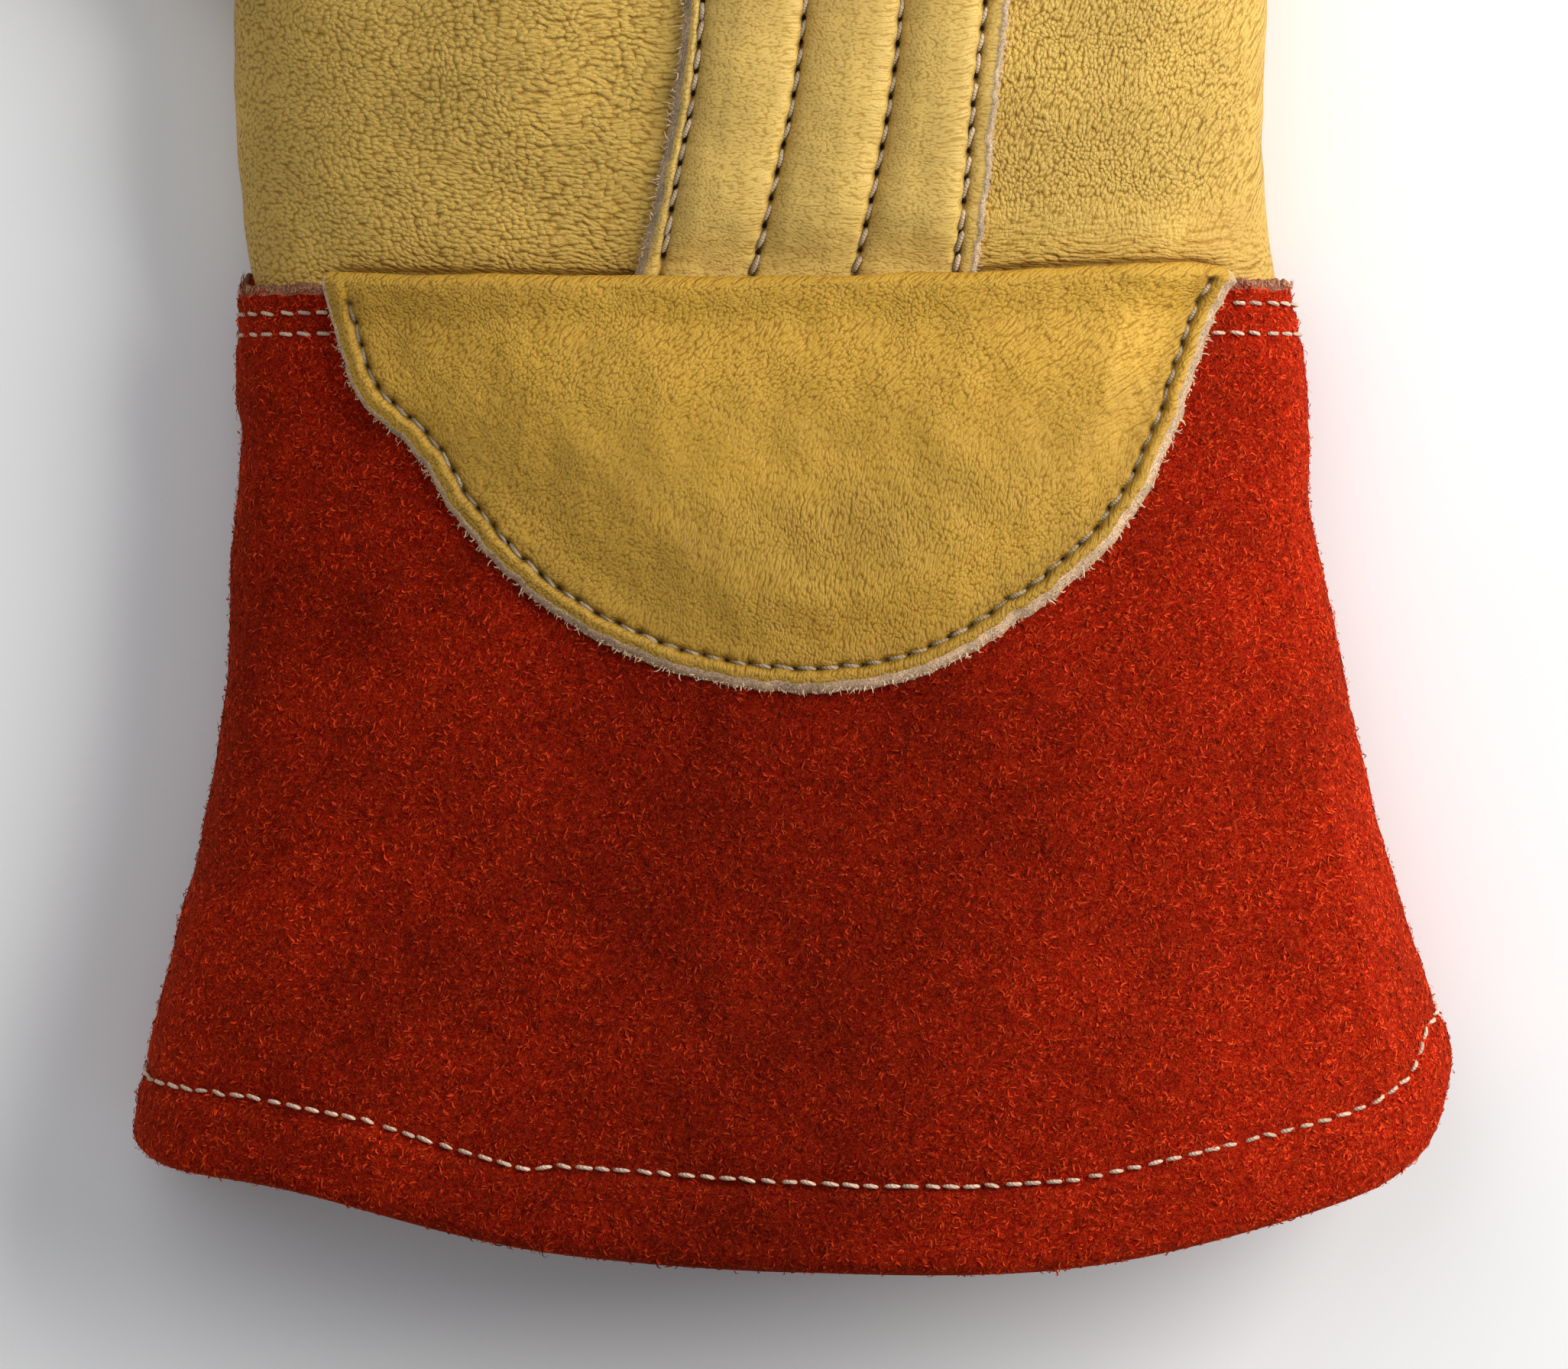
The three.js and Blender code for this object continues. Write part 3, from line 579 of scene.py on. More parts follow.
def patch_leather(colour, depth):
    """The patch's leather: pebbled near its fold, and wrinkled towards its cut edge, across the stitches."""
    recipe = Recipe("patch grain leather")
    pebbled = grain(recipe, 35, 0.38, 1.6)
    left = grain(recipe, 33, 0.38, 1.9)
    low = grain(recipe, 80, 0.38, 1.9)
    side = recipe.spread(recipe.axis("X"), -30, 5)
    wrinkled = recipe.node("ShaderNodeMix", {0: side, 2: left, 3: low})[0]
    up = recipe.spread(recipe.axis("Y"), -24, -8)
    height = recipe.node("ShaderNodeMix", {0: up, 2: wrinkled, 3: pebbled})[0]
    # Painted light and dye: lighter towards the top and the right, which face the light, and browner low down
    light_and_dye_by_height = recipe.spread(recipe.axis("Y"), -25, -6, 0.94, 1.14)
    shade = recipe.maths("MULTIPLY", light_and_dye_by_height, recipe.spread(recipe.axis("X"), -30, 45, 0.96, 1.07))
    return dressed(recipe, recipe.tint(colour, shade), height, depth, 0.5, colour)


def dressed(recipe, colour, height, depth, roughness, plain=None):
    """Grain leather in a colour: browner in the valleys of its grain as painted shade, mottled at two sizes,
    darker with painted shade in its creases, grooves and shaded slopes, and nearly black with painted shadow
    in its needle holes. plain is the bare colour where colour is a node's."""
    plain = plain or colour
    # Painted shade: the grain's valleys are browner and its ridges a little lighter
    grained = recipe.blend(recipe.spread(height, 0.15, 0.65), (*VALLEY_SHADE, 1), (1.04, 1.04, 1.04, 1))
    base = recipe.blend(1.0, grained, colour, "MULTIPLY")
    mottle = recipe.spread(recipe.noise(16, 3.0, 0.6), 0.3, 0.7, 0.86, 1.12)
    clouded = recipe.tint(base, mottle)
    stains = recipe.spread(recipe.noise(34, 2.0, 0.5), 0.56, 0.74, 0.0, 0.35)
    stained = recipe.blend(stains, clouded, tone(shaded(plain, STAINED), 0.9))
    # Painted shade: where the mark is high, creases, grooves, stitch lines and slopes turned from the light
    # are darkened
    shade_colour = tone(shaded(plain, GROOVE_SHADE), 0.75)
    painted_shade = recipe.blend(recipe.maths("MULTIPLY", recipe.mark("painted_shade"), 0.75), stained, shade_colour)
    # Painted shadow: nearly black where the needle holes are marked
    pierced = recipe.blend(recipe.mark("hole"), painted_shade, (0.012, 0.007, 0.004, 1))
    rough = recipe.spread(height, 0.0, 1.0, roughness + 0.16, roughness - 0.04)
    return recipe.finish(pierced, rough, height, depth, Specular_IOR_Level=0.33, IOR=1.45)


def raw_edge(name, colour, size=0.35):
    """Cut or split leather: pale felted fibres over a greyer body."""
    recipe = Recipe(name)
    fibres = recipe.noise(size, 3.0, 0.65, distortion=1.2)
    patches = recipe.noise(3.2, 2.0)
    base = recipe.blend(recipe.spread(fibres, 0.35, 0.62), tone(colour, 0.42), tone(colour, 1.1))
    tinted = recipe.tint(base, recipe.spread(patches, 0.3, 0.7, 0.75, 1.15))
    return recipe.finish(tinted, 0.95, fibres, 0.25, Specular_IOR_Level=0.15)


def tone_and_painted_light(recipe):
    """The shade of the suede from place to place: large swept areas and clumps a millimetre across in its own
    tone, and a painted sheen and light that make it lighter towards both sides, most of all towards the lit
    right."""
    swept = recipe.spread(recipe.noise(22, 3.0, 0.6), 0.3, 0.7, 0.76, 1.2)
    clumps = recipe.spread(recipe.noise(1.1, 2.0, 0.6, distortion=1.5), 0.36, 0.6, 0.62, 1.12)
    # Painted sheen and light: lighter towards both sides, most of all towards the lit right
    left = recipe.spread(recipe.axis("X"), -78, -8, 1.3, 0.74)
    right = recipe.spread(recipe.axis("X"), 8, 78, 0.74, 1.6)
    mottled = recipe.maths("MULTIPLY", swept, clumps)
    return recipe.maths("MULTIPLY", mottled, recipe.maths("MAXIMUM", left, right))


def sheen(tip):
    """The glow of short fibres seen from the side, in the colour of their ends."""
    return {"Sheen_Weight": 0.3, "Sheen_Roughness": 0.5, "Sheen_Tint": (1.0, tip[1] * 3.5, tip[2] * 6, 1)}


def suede(name, deep, tip, size=0.42):
    """The cuff's suede under its nap: short curled ridges over a deep red, lighter and darker from place to
    place, with painted sheen and light towards its sides.
    """
    recipe = Recipe(name)
    curls = recipe.noise(size, 2.0, 0.6, distortion=1.8)
    ridges = recipe.spread(curls, 0.42, 0.6)
    base = recipe.blend(recipe.maths("MULTIPLY", ridges, 0.4), deep, tip)
    swept = recipe.tint(base, tone_and_painted_light(recipe))
    return recipe.finish(swept, 0.95, curls, 0.18, Specular_IOR_Level=0.03, **sheen(tip))


def nap_fibre(name, deep, tip):
    """Fibres of the nap: dark at the root as painted shade and bright at the tip as painted light, each in its
    own shade, and with the same tone and painted light as the suede below them."""
    recipe = Recipe(name)
    along = recipe.mark("along")
    own = recipe.mark("own")
    # Painted shade at each fibre's root and painted light at its tip
    bright = recipe.maths("MULTIPLY", recipe.spread(along, 0.0, 0.7), recipe.spread(own, 0.0, 0.7, 0.2, 1.0))
    base = recipe.blend(bright, deep, tip)
    shade = recipe.spread(own, 0.0, 1.0, 0.75, 1.2)
    tinted = recipe.tint(base, recipe.maths("MULTIPLY", shade, tone_and_painted_light(recipe)))
    return recipe.finish(tinted, 0.9, own, 0.0, Specular_IOR_Level=0.05, **sheen(tip))


def pale_fibre(name, colour):
    """Loose fibres of a cut edge."""
    recipe = Recipe(name)
    shade = recipe.spread(recipe.mark("own"), 0.0, 1.0, 0.55, 1.15)
    tinted = recipe.tint(tone(colour, 1.0), shade)
    return recipe.finish(tinted, 0.9, shade, 0.0, Specular_IOR_Level=0.15)


def thread(name, colour, lift=1.0):
    """Waxed thread, which carries the twist of its plies as darker lines. Above the wrist it is lighter
    by the factor lift, as painted light: the strip's threads are made lit copies of the patch's shaded ones."""
    recipe = Recipe(name)
    wave = {"Vector": recipe.place, "Scale": 1.1, "Distortion": 1.5}
    plies = recipe.node("ShaderNodeTexWave", wave, bands_direction="DIAGONAL")["Fac"]
    lines = recipe.spread(plies, 0.2, 0.8)
    base = recipe.blend(lines, tone(colour, 0.78), tone(colour, 1.08))
    own = recipe.spread(recipe.mark("own"), 0.0, 1.0, 0.8, 1.15)
    # Painted light: the threads of the strip are made lighter than the patch's
    higher = recipe.spread(recipe.axis("Y"), -4, 4, 1.0, lift)
    tinted = recipe.tint(base, recipe.maths("MULTIPLY", own, higher))
    return recipe.finish(tinted, 0.6, lines, 0.05, Specular_IOR_Level=0.35)


def hole_shadow_finish():
    """Painted shadow in a needle hole: the near-black finish of the discs set where its shade falls."""
    recipe = Recipe("needle hole")
    shade = recipe.noise(0.4)
    colour = recipe.blend(shade, (0.006, 0.004, 0.003, 1), (0.03, 0.016, 0.008, 1))
    return recipe.finish(colour, 0.95, shade, 0.05, Specular_IOR_Level=0.05)


def studio_floor(colour):
    """A plain matt floor."""
    recipe = Recipe("studio floor")
    shade = recipe.noise(60)
    tinted = recipe.tint(tone(colour, 1.0), recipe.spread(shade, 0.3, 0.7, 0.99, 1.01))
    return recipe.finish(tinted, 0.9, shade, 0.0, Specular_IOR_Level=0.1)


# Settings


class GloveLeather(bpy.types.PropertyGroup):
    """The grain leather of the hand, the strip and the patch."""

    palm: bpy.props.FloatVectorProperty(
        name="Hand", description="Colour of the hand's leather",
        default=(0.63, 0.4, 0.082), size=3, subtype="COLOR",
    )
    strip: bpy.props.FloatVectorProperty(
        name="Strip", description="Colour of the padded strip",
        default=(0.69, 0.465, 0.12), size=3, subtype="COLOR",
    )
    patch: bpy.props.FloatVectorProperty(
        name="Patch", description="Colour of the wrist patch",
        default=(0.50, 0.285, 0.032), size=3, subtype="COLOR",
    )
    cut: bpy.props.FloatVectorProperty(
        name="Cut edge", description="Colour of the raw cut edges",
        default=(0.70, 0.52, 0.33), size=3, subtype="COLOR",
    )
    wrinkle: bpy.props.FloatProperty(
        name="Wrinkle depth", description="Depth of the grain", default=0.00025, min=0, unit="LENGTH"
    )


class GloveSuede(bpy.types.PropertyGroup):
    """The split leather of the cuff."""

    deep: bpy.props.FloatVectorProperty(
        name="Deep", description="Colour between the fibres",
        default=(0.155, 0.0008, 0.0003), size=3, subtype="COLOR",
    )
    tip: bpy.props.FloatVectorProperty(
        name="Tip", description="Colour of the ends of the fibres",
        default=(0.56, 0.044, 0.008), size=3, subtype="COLOR",
    )
    length: bpy.props.FloatProperty(
        name="Nap length", description="Usual length of a fibre", default=0.00105, min=0.0002, unit="LENGTH"
    )
    front_fibres: bpy.props.IntProperty(
        name="Front fibres", description="Fibres in each of two layers on the front", default=33000, min=0
    )
    back_fibres: bpy.props.IntProperty(
        name="Back fibres", description="Fibres on the back of the cuff", default=14000, min=0
    )


class GloveThread(bpy.types.PropertyGroup):
    """The stitching."""

    brown: bpy.props.FloatVectorProperty(
        name="Leather thread", description="Colour of the thread in the leather",
        default=(0.35, 0.27, 0.175), size=3, subtype="COLOR",
    )
    pale: bpy.props.FloatVectorProperty(
        name="Cuff thread", description="Colour of the thread in the suede",
        default=(0.68, 0.48, 0.34), size=3, subtype="COLOR",
    )
    thickness: bpy.props.FloatProperty(
        name="Thickness", description="Diameter of the thread", default=0.0006, min=0.0001, unit="LENGTH"
    )


class GloveStage(bpy.types.PropertyGroup):
    """The floor, the light and the camera."""

    floor: bpy.props.FloatVectorProperty(
        name="Floor", description="Colour of the floor",
        default=(0.97, 0.97, 0.97), size=3, subtype="COLOR",
    )
    key: bpy.props.FloatProperty(name="Key light", description="Power of the main light", default=14.5, min=0)
    height: bpy.props.FloatProperty(
        name="Camera height", description="Height of the camera over the floor",
        default=2.02, min=0.5, unit="LENGTH",
    )


# The hand


def column_turns(face, per_finger):
    """The turns of the hand's columns, from left to right, which are the same at every level and even
    within each finger's width."""
    shape = hand_section(COLUMN_LEVEL)
    bounds = turn_over(shape, CROTCH["x"])
    if face == "back":
        bounds = 360 - bounds
    bounds[0] = 180 + SEAM_TURN
    bounds[4] = -SEAM_TURN if face == "front" else 360 - SEAM_TURN
    runs = [even_turns(shape, bounds[k], bounds[k + 1], per_finger) for k in range(4)]
    return np.concatenate([runs[0]] + [run[1:] for run in runs[1:]])


def crotch_level(share):
    """The level at which the fingers leave the hand, a share of the way across it."""
    return np.interp(share * 4, np.arange(5), CROTCH["y"])


def finger_shape(finger, share):
    """A finger's section: it moves to the tip's place and narrows by a power of the length left."""
    left, right = CROTCH["x"][finger], CROTCH["x"][finger + 1]
    return {
        "middle": mix((left + right) / 2, FINGERS["tip_x"][finger], share),
        "half": mix(FINGERS["tip_half"][finger], (right - left) / 2, (1 - share) ** 1.5),
        "top": FINGER_TOP - FINGER_FALL * share,
        "side": FINGER_SIDE,
        "floor": 0.0,
        "power": ROUNDNESS,
    }


def finger_turns(face, finger, count):
    start = 180 + SEAM_TURN if finger == 0 else 180
    end = -SEAM_TURN if finger == 3 else 0
    return even_turns(finger_shape(finger, 0.0), start, end if face == "front" else 360 + end, count)


def hand_grid(face, levels, per_finger):
    """The hand below the fingers. Its rows bend to the crotches, and over the last stretch one crown
    turns into four arches."""
    turns = column_turns(face, per_finger)
    column = np.arange(len(turns))
    finger = np.minimum(column // per_finger, 3)
    arch = np.empty((2, len(turns)))
    for k in range(4):
        own = finger == k
        run = finger_turns(face, k, per_finger)[column[own] - k * per_finger]
        arch[:, own] = section_point(finger_shape(k, 0.0), run)
    level = levels[:, None]
    bend = smooth((level - KNUCKLES + KNUCKLE_BEND) / KNUCKLE_BEND)
    y = level + (crotch_level(column / (4 * per_finger)) - KNUCKLES) * bend
    x, z = section_point(hand_section(y), turns[None, :])
    blend = smooth((level - KNUCKLES + ARCH_BLEND) / ARCH_BLEND)
    return np.stack([mix(x, arch[0], blend), y, mix(z, arch[1], blend) + lift(y)], axis=-1)


def finger_grid(face, finger, per_finger, rows, cap_rows):
    """A finger from its root to near its tip: the sections move along it, and over the rounded tip they
    shrink by the cosine of an angle whose sine carries them forward."""
    turns = finger_turns(face, finger, per_finger)
    root = crotch_level((finger * per_finger + np.arange(per_finger + 1)) / (4 * per_finger))
    cap_start = FINGERS["tip_y"][finger] - FINGER_CAP
    share = np.concatenate([np.linspace(0, 1, rows + 1), np.ones(cap_rows)])[:, None]
    closing = np.radians(np.concatenate([np.zeros(rows + 1), np.linspace(0, 86, cap_rows + 1)[1:]]))[:, None]
    shape = finger_shape(finger, share)
    x, z = section_point(shape, turns[None, :])
    y = mix(root[None, :], cap_start, share) + FINGER_CAP * np.sin(closing)
    shrink = np.cos(closing)
    place = np.stack([mix(shape["middle"], x, shrink), y, mix(shape["side"], z, shrink) + lift(y)], axis=-1)
    return place, share[:, 0] * (cap_start - root.mean())


def run_lengths(grid):
    """The length from the first column of each row of a grid to its points."""
    steps = np.linalg.norm(np.diff(grid, axis=1), axis=2)
    return np.concatenate([np.zeros((len(grid), 1)), np.cumsum(steps, axis=1)], axis=1)


def seam_distance(grid):
    """How far each point of a grid lies from its row's nearer end."""
    along = run_lengths(grid)
    return np.minimum(along, along[:, -1:] - along)


def finger_creases(grid, along):
    """How far the joints' creases draw a finger's front in: a bell round each of three places along it,
    wavering a little across it, and none at its seams."""
    across = seam_distance(grid)
    inside = smooth(across / 7)
    depth = np.zeros(across.shape)
    waver = ripple(grid[..., 0], grid[..., 1], 13, 5) * 0.9
    for k, share in enumerate(JOINTS):
        centre = share * along.max()
        for offset, deep in ((-1.5, 0.35), (1.1, 0.55), (3.4, 0.22)):
            depth += deep * bump(along[:, None] - centre - offset - waver, 0.75) * (1 if k else 0.5)
    return depth * inside


def soft_leather(points):
    """Rise and fall of leather that has been used: two soft ripples."""
    x, y = points[..., 0], points[..., 1]
    return 0.28 * ripple(x, y, 26, 11) + 0.1 * ripple(x, y, 8, 12)


class Sheets:
    """Grids of points that become one sheet of leather, with what is known at each point."""

    def __init__(self, face):
        self.face = face
        self.points, self.seams, self.quads, self.triangles = [], [], [], []
        self.groove, self.rise, self.painted_shade = [], [], []
        self.count = 0

    def add(self, grid, seam, groove, rise, painted_shade=None):
        """Adds points and returns their numbers in the grid's shape."""
        index = self.count + np.arange(grid.shape[0] * grid.shape[1]).reshape(grid.shape[:2])
        self.points.append(grid.reshape(-1, 3))
        self.seams.append(np.broadcast_to(seam, grid.shape[:2]).ravel())
        self.groove.append(np.broadcast_to(groove, grid.shape[:2]).ravel())
        self.rise.append(np.broadcast_to(rise, grid.shape[:2]).ravel())
        self.painted_shade.append(np.broadcast_to(0.0 if painted_shade is None else painted_shade, grid.shape[:2]).ravel())
        self.count += index.size
        return index

    def join(self, index):
        self.quads.append(grid_quads(index))

    def close(self, row, tip):
        """A fan from a row of points to one tip."""
        self.triangles.append(np.stack([row[:-1], row[1:], np.full(len(row) - 1, tip)], axis=1))

    def wall(self, thickness=LEATHER):
        """The finished points, faces and marks of the sheet with its thickness."""
        points = np.concatenate(self.points)
        quads = np.concatenate(self.quads)
        triangles = np.concatenate(self.triangles) if self.triangles else np.zeros((0, 3), int)
        if self.face == "back":
            quads, triangles = quads[:, ::-1], triangles[:, ::-1]
        normals = normals_of(points, quads, triangles)
        seam = np.concatenate(self.seams)
        normals[seam, 2] = 0
        normals /= np.maximum(np.linalg.norm(normals, axis=1, keepdims=True), 1e-9)
        offset = np.concatenate(self.rise) - np.concatenate(self.groove)
        outer = points + normals * offset[:, None]
        outer[:, 2] = np.maximum(outer[:, 2], 0.0)
        outer[seam, 2] += GAP / 2 if self.face == "front" else -GAP / 2
        inner = outer - normals * thickness
        outer, quads, triangles = thick(outer, inner, quads, triangles)
        groove = np.tile(np.concatenate(self.groove), 2)
        # Painted shade: the seams' grooves are darkened as well as the marked places
        painted_shade = np.clip(np.tile(np.concatenate(self.painted_shade), 2) + groove * 0.9, 0, 1)
        return outer, quads, triangles, {"painted_shade": painted_shade, "hole": np.zeros(len(outer))}


def add_finger(sheets, face, finger, per_finger, first=None):
    """Adds a finger to a sheet. Its first row is the hand's, where that is given."""
    grid, along = finger_grid(face, finger, per_finger, 62 if face == "front" else 44, CAP_ROWS)
    side = seam_distance(grid)
    groove = SEAM_DEPTH * bump(side, SEAM_REACH)
    if first is None:
        groove = np.maximum(groove, SEAM_DEPTH * bump(along[:, None], SEAM_REACH))
        grid[0, :, 1] += GAP
    crease = finger_creases(grid, along) if face == "front" else 0.5 * finger_creases(grid, along)
    rise = soft_leather(grid) * smooth(side / 5) * smooth((along[:, None]) / 8) - crease
    seam = np.zeros(grid.shape[:2], bool)
    seam[:, [0, -1]] = True
    body = slice(1, None) if first is not None else slice(None)
    # The joints' creases are darkened as painted shade
    index = sheets.add(grid[body], seam[body], groove[body], rise[body], crease[body] * 0.8)
    if first is not None:
        index = np.concatenate([first[None, :], index])
    sheets.join(index)
    shape = finger_shape(finger, 1.0)
    tip = np.array([[[shape["middle"], FINGERS["tip_y"][finger], shape["side"]]]])
    tip[..., 2] += lift(tip[..., 1])
    number = sheets.add(tip, False, 0.0, 0.0)
    sheets.close(index[-1], number[0, 0])


def hand_sheet(face, per_finger, step, own_fingers):
    """One face of the hand with the fingers that are cut in one piece with it."""
    sheets = Sheets(face)
    fold = np.arange(4.4, 9.6, 0.34) if face == "front" else np.arange(4.4, 9.6, step)
    low, high = np.arange(-TUCK_DEPTH, 4.2, step), np.arange(9.8, 48, step)
    levels = np.concatenate([low, fold, high, np.linspace(48, KNUCKLES, int(62 / (1.4 * step)))])
    grid = hand_grid(face, levels, per_finger)
    groove = SEAM_DEPTH * bump(seam_distance(grid), SEAM_REACH)
    along = run_lengths(grid)
    for k in (1, 2, 3):
        column = k * per_finger
        root = grid[-1, column]
        away = np.hypot(along - along[:, column : column + 1], grid[..., 1] - root[1])
        groove = np.maximum(groove, SEAM_DEPTH * bump(away, SEAM_REACH))
    if face == "front":
        sewn = np.zeros(grid.shape[1], bool)
        sewn[per_finger : 3 * per_finger + 1] = True
        from_root = grid[-1:, :, 1] - grid[..., 1]
        groove = np.where(sewn, np.maximum(groove, SEAM_DEPTH * bump(from_root, SEAM_REACH)), groove)
    rise = soft_leather(grid) * smooth(seam_distance(grid) / 6) * smooth((grid[..., 1] - 6) / 10)
    rise = rise * smooth((KNUCKLES - levels)[:, None] / 8)
    painted_shade = 0 * rise
    if face == "front":
        # A soft bulge on the thumb's side, and a ridge and a valley where the patch is folded
        x, y = grid[..., 0], grid[..., 1]
        rise = rise + 1.5 * bump(x + 33, 11) * smooth((y - 14) / 14) * smooth((72 - y) / 20)
        beyond = y - fold_y(x)
        under = smooth((60 - np.abs(x - 1)) / 4)
        rise = rise + (0.35 * bump(beyond - 3, 2.2) - 1.0 * bump(beyond, 0.55)) * under
        # Painted shade in the crease along the fold
        painted_shade = bump(beyond, 0.42) * under
    seam = np.zeros(grid.shape[:2], bool)
    seam[:, [0, -1]] = True
    seam[-1, [per_finger, 2 * per_finger, 3 * per_finger]] = True
    index = sheets.add(grid, seam, groove, rise, painted_shade)
    sheets.join(index)
    for finger in own_fingers:
        root = index[-1, finger * per_finger : (finger + 1) * per_finger + 1]
        add_finger(sheets, face, finger, per_finger, root)
    return sheets


class GLOVE_OT_hand(bpy.types.Operator):
    """Makes the palm, the back of the hand and the two fingers' fronts that are sewn to the palm"""

    bl_idname = "glove.hand"
    bl_label = "Hand"

    def execute(self, context):
        look = context.scene.glove_leather
        finishes = [hand_leather((*look.palm, 1), look.wrinkle / MM), raw_edge("flesh side", (*look.cut, 1))]
        panels = {
            "palm": hand_sheet("front", 28, 1.1, (0, 3)),
            "hand_back": hand_sheet("back", 18, 1.7, (0, 1, 2, 3)),
        }
        for name, finger in (("middle_front", 1), ("ring_front", 2)):
            panels[name] = Sheets("front")
            add_finger(panels[name], "front", finger, 28)
        for name, sheets in panels.items():
            sewn_panel(name, sheets, finishes)
        return {"FINISHED"}


def flesh_inside(quads, triangles, cut=None):
    """The finish of each face of a wall: grain outside, and the flesh side on the inner faces and the rim.
    cut marks the outer faces that belong to a bevelled cut edge."""
    half_triangles = len(triangles) // 2
    rim_start = quads.max() // 2 + 1
    outer = quads.max(axis=1) < rim_start
    own = (~outer).astype(int)
    if cut is not None:
        own[: len(cut)][cut] = 1
    return np.concatenate([own, np.repeat([0, 1], half_triangles)])


def sewn_panel(name, sheets, finishes):
    """Turns a sheet into the piece that takes the place of one panel of the hand."""
    points, quads, triangles, marks = sheets.wall()
    finish_of = flesh_inside(quads, triangles)
    make_piece(
        f"{name}_leather", points, quads, triangles, (name,), finishes, finish_of, marks
    )


# The thumb


def thumb_shape(along):
    row = read(THUMB, "along", along)
    return {"middle": 0.0, **{key: row[key] for key in ("half", "top", "side", "floor")}, "power": ROUNDNESS}


def thumb_place(along, across, z):
    """A point from the thumb's root: along its axis, across it, and up, with the tip raised by the square
    of the way along."""
    turn = math.radians(THUMB_TURN)
    length = THUMB["along"][-1] + THUMB_CAP - THUMB_LIFT_START
    rise = THUMB_LIFT * (np.maximum(0, along - THUMB_LIFT_START) / length) ** 2
    x = THUMB_ROOT[0] - math.sin(turn) * along + math.cos(turn) * across
    y = THUMB_ROOT[1] + math.cos(turn) * along + math.sin(turn) * across
    return np.stack(np.broadcast_arrays(x, y, z + rise), axis=-1)


def within_hand(points):
    """True for points between the crown and the underside of the hand."""
    shape = hand_section(points[..., 1])
    turn = turn_over(shape, points[..., 0])
    top, bottom = section_point(shape, turn)[1], section_point(shape, -turn)[1]
    beside = np.abs(points[..., 0] - shape["middle"]) < shape["half"]
    return beside & (points[..., 2] < top) & (points[..., 2] > bottom)


def thumb_start(turns):
    """For each column, how far along the thumb comes out of the hand: the last place of a fine row that is
    still inside it, evened out between neighbours."""
    along = np.arange(-24, 60, 0.25)[:, None]
    x, z = section_point(thumb_shape(along), turns[None, :])
    inside = within_hand(thumb_place(along, x, z))
    last = len(along) - 1 - np.argmax(inside[::-1], axis=0)
    start = np.where(inside.any(axis=0), along[last, 0], -10.0)
    padded = np.pad(start, 4, mode="edge")
    return np.convolve(padded, np.hanning(11)[1:-1] / np.hanning(11).sum(), mode="valid")


def thumb_sheet(face, columns, rows, cap_rows):
    """One half of the thumb, from where it leaves the hand to its rounded tip."""
    turns = even_turns(thumb_shape(0.0), 180, 0 if face == "front" else 360, columns)
    start = thumb_start(turns)
    end = THUMB["along"][-1]
    share = np.linspace(0, 1, rows + 1)[:, None]
    along = np.concatenate([mix(start[None, :] - 0.6, end, share), np.full((cap_rows, columns + 1), end)])
    closing = np.radians(np.concatenate([np.zeros(rows + 1), np.linspace(0, 86, cap_rows + 1)[1:]]))[:, None]
    shape = thumb_shape(along)
    x, z = section_point(shape, turns[None, :])
    shrink = np.cos(closing)
    grid = thumb_place(along + THUMB_CAP * np.sin(closing), x * shrink, mix(shape["side"], z, shrink))
    sheets = Sheets(face)
    side = seam_distance(grid)
    from_root = along - start[None, :]
    groove = SEAM_DEPTH * np.maximum(bump(side, SEAM_REACH), 1.3 * bump(from_root, 1.6))
    joint = 38 + 2 * ripple(grid[..., 0], grid[..., 1], 12, 31)
    crease = 0.5 * bump(from_root - joint + start[None, :] * 0.2, 0.9)
    crease = crease + 0.35 * bump(from_root - joint - 2.6, 0.8)
    crease = crease * smooth(side / 6) * (1.0 if face == "front" else 0.4)
    rise = soft_leather(grid) * smooth(side / 5) * smooth(from_root / 7) - crease
    seam = np.zeros(grid.shape[:2], bool)
    seam[:, [0, -1]] = True
    # The joint's crease is darkened as painted shade
    index = sheets.add(grid, seam, groove, rise, crease)
    sheets.join(index)
    tip = thumb_place(np.array([[end + THUMB_CAP]]), 0.0, THUMB["side"][-1])
    number = sheets.add(tip, False, 0.0, 0.0)
    sheets.close(index[-1], number[0, 0])
    return sheets


class GLOVE_OT_thumb(bpy.types.Operator):
    """Makes the two halves of the thumb"""

    bl_idname = "glove.thumb"
    bl_label = "Thumb"

    def execute(self, context):
        finishes = [bpy.data.materials["hand grain leather"], bpy.data.materials["flesh side"]]
        sewn_panel("thumb_front", thumb_sheet("front", 44, 70, CAP_ROWS), finishes)
        sewn_panel("thumb_back", thumb_sheet("back", 34, 54, CAP_ROWS), finishes)
        return {"FINISHED"}


# Pieces sewn on top


def laid(section_at, x, y, height):
    """A place a given height above a crown: the crown at x and y, plus the height along its normal, which
    comes from its slopes over a small step."""

    def crown(dx, dy):
        shape = section_at(y + dy)
        return section_point(shape, turn_over(shape, x + dx))[1]

    slope_x = (crown(SLOPE_STEP, 0) - crown(-SLOPE_STEP, 0)) / (2 * SLOPE_STEP)
    slope_y = (crown(0, SLOPE_STEP) - crown(0, -SLOPE_STEP)) / (2 * SLOPE_STEP)
    size = np.sqrt(1 + slope_x**2 + slope_y**2)
    normal = np.stack(np.broadcast_arrays(-slope_x / size, -slope_y / size, 1 / size), axis=-1)
    return np.stack(np.broadcast_arrays(x, y, crown(0, 0)), axis=-1) + normal * np.asarray(height)[..., None]


def below_patch(y):
    return cuff_section(np.minimum(y, PATCH_LEVEL_END))


def scallop(along, pitch):
    """1 at a needle hole and 0 halfway between two: a raised cosine along a row of stitches."""
    return (1 + np.cos(math.tau * along / pitch)) / 2


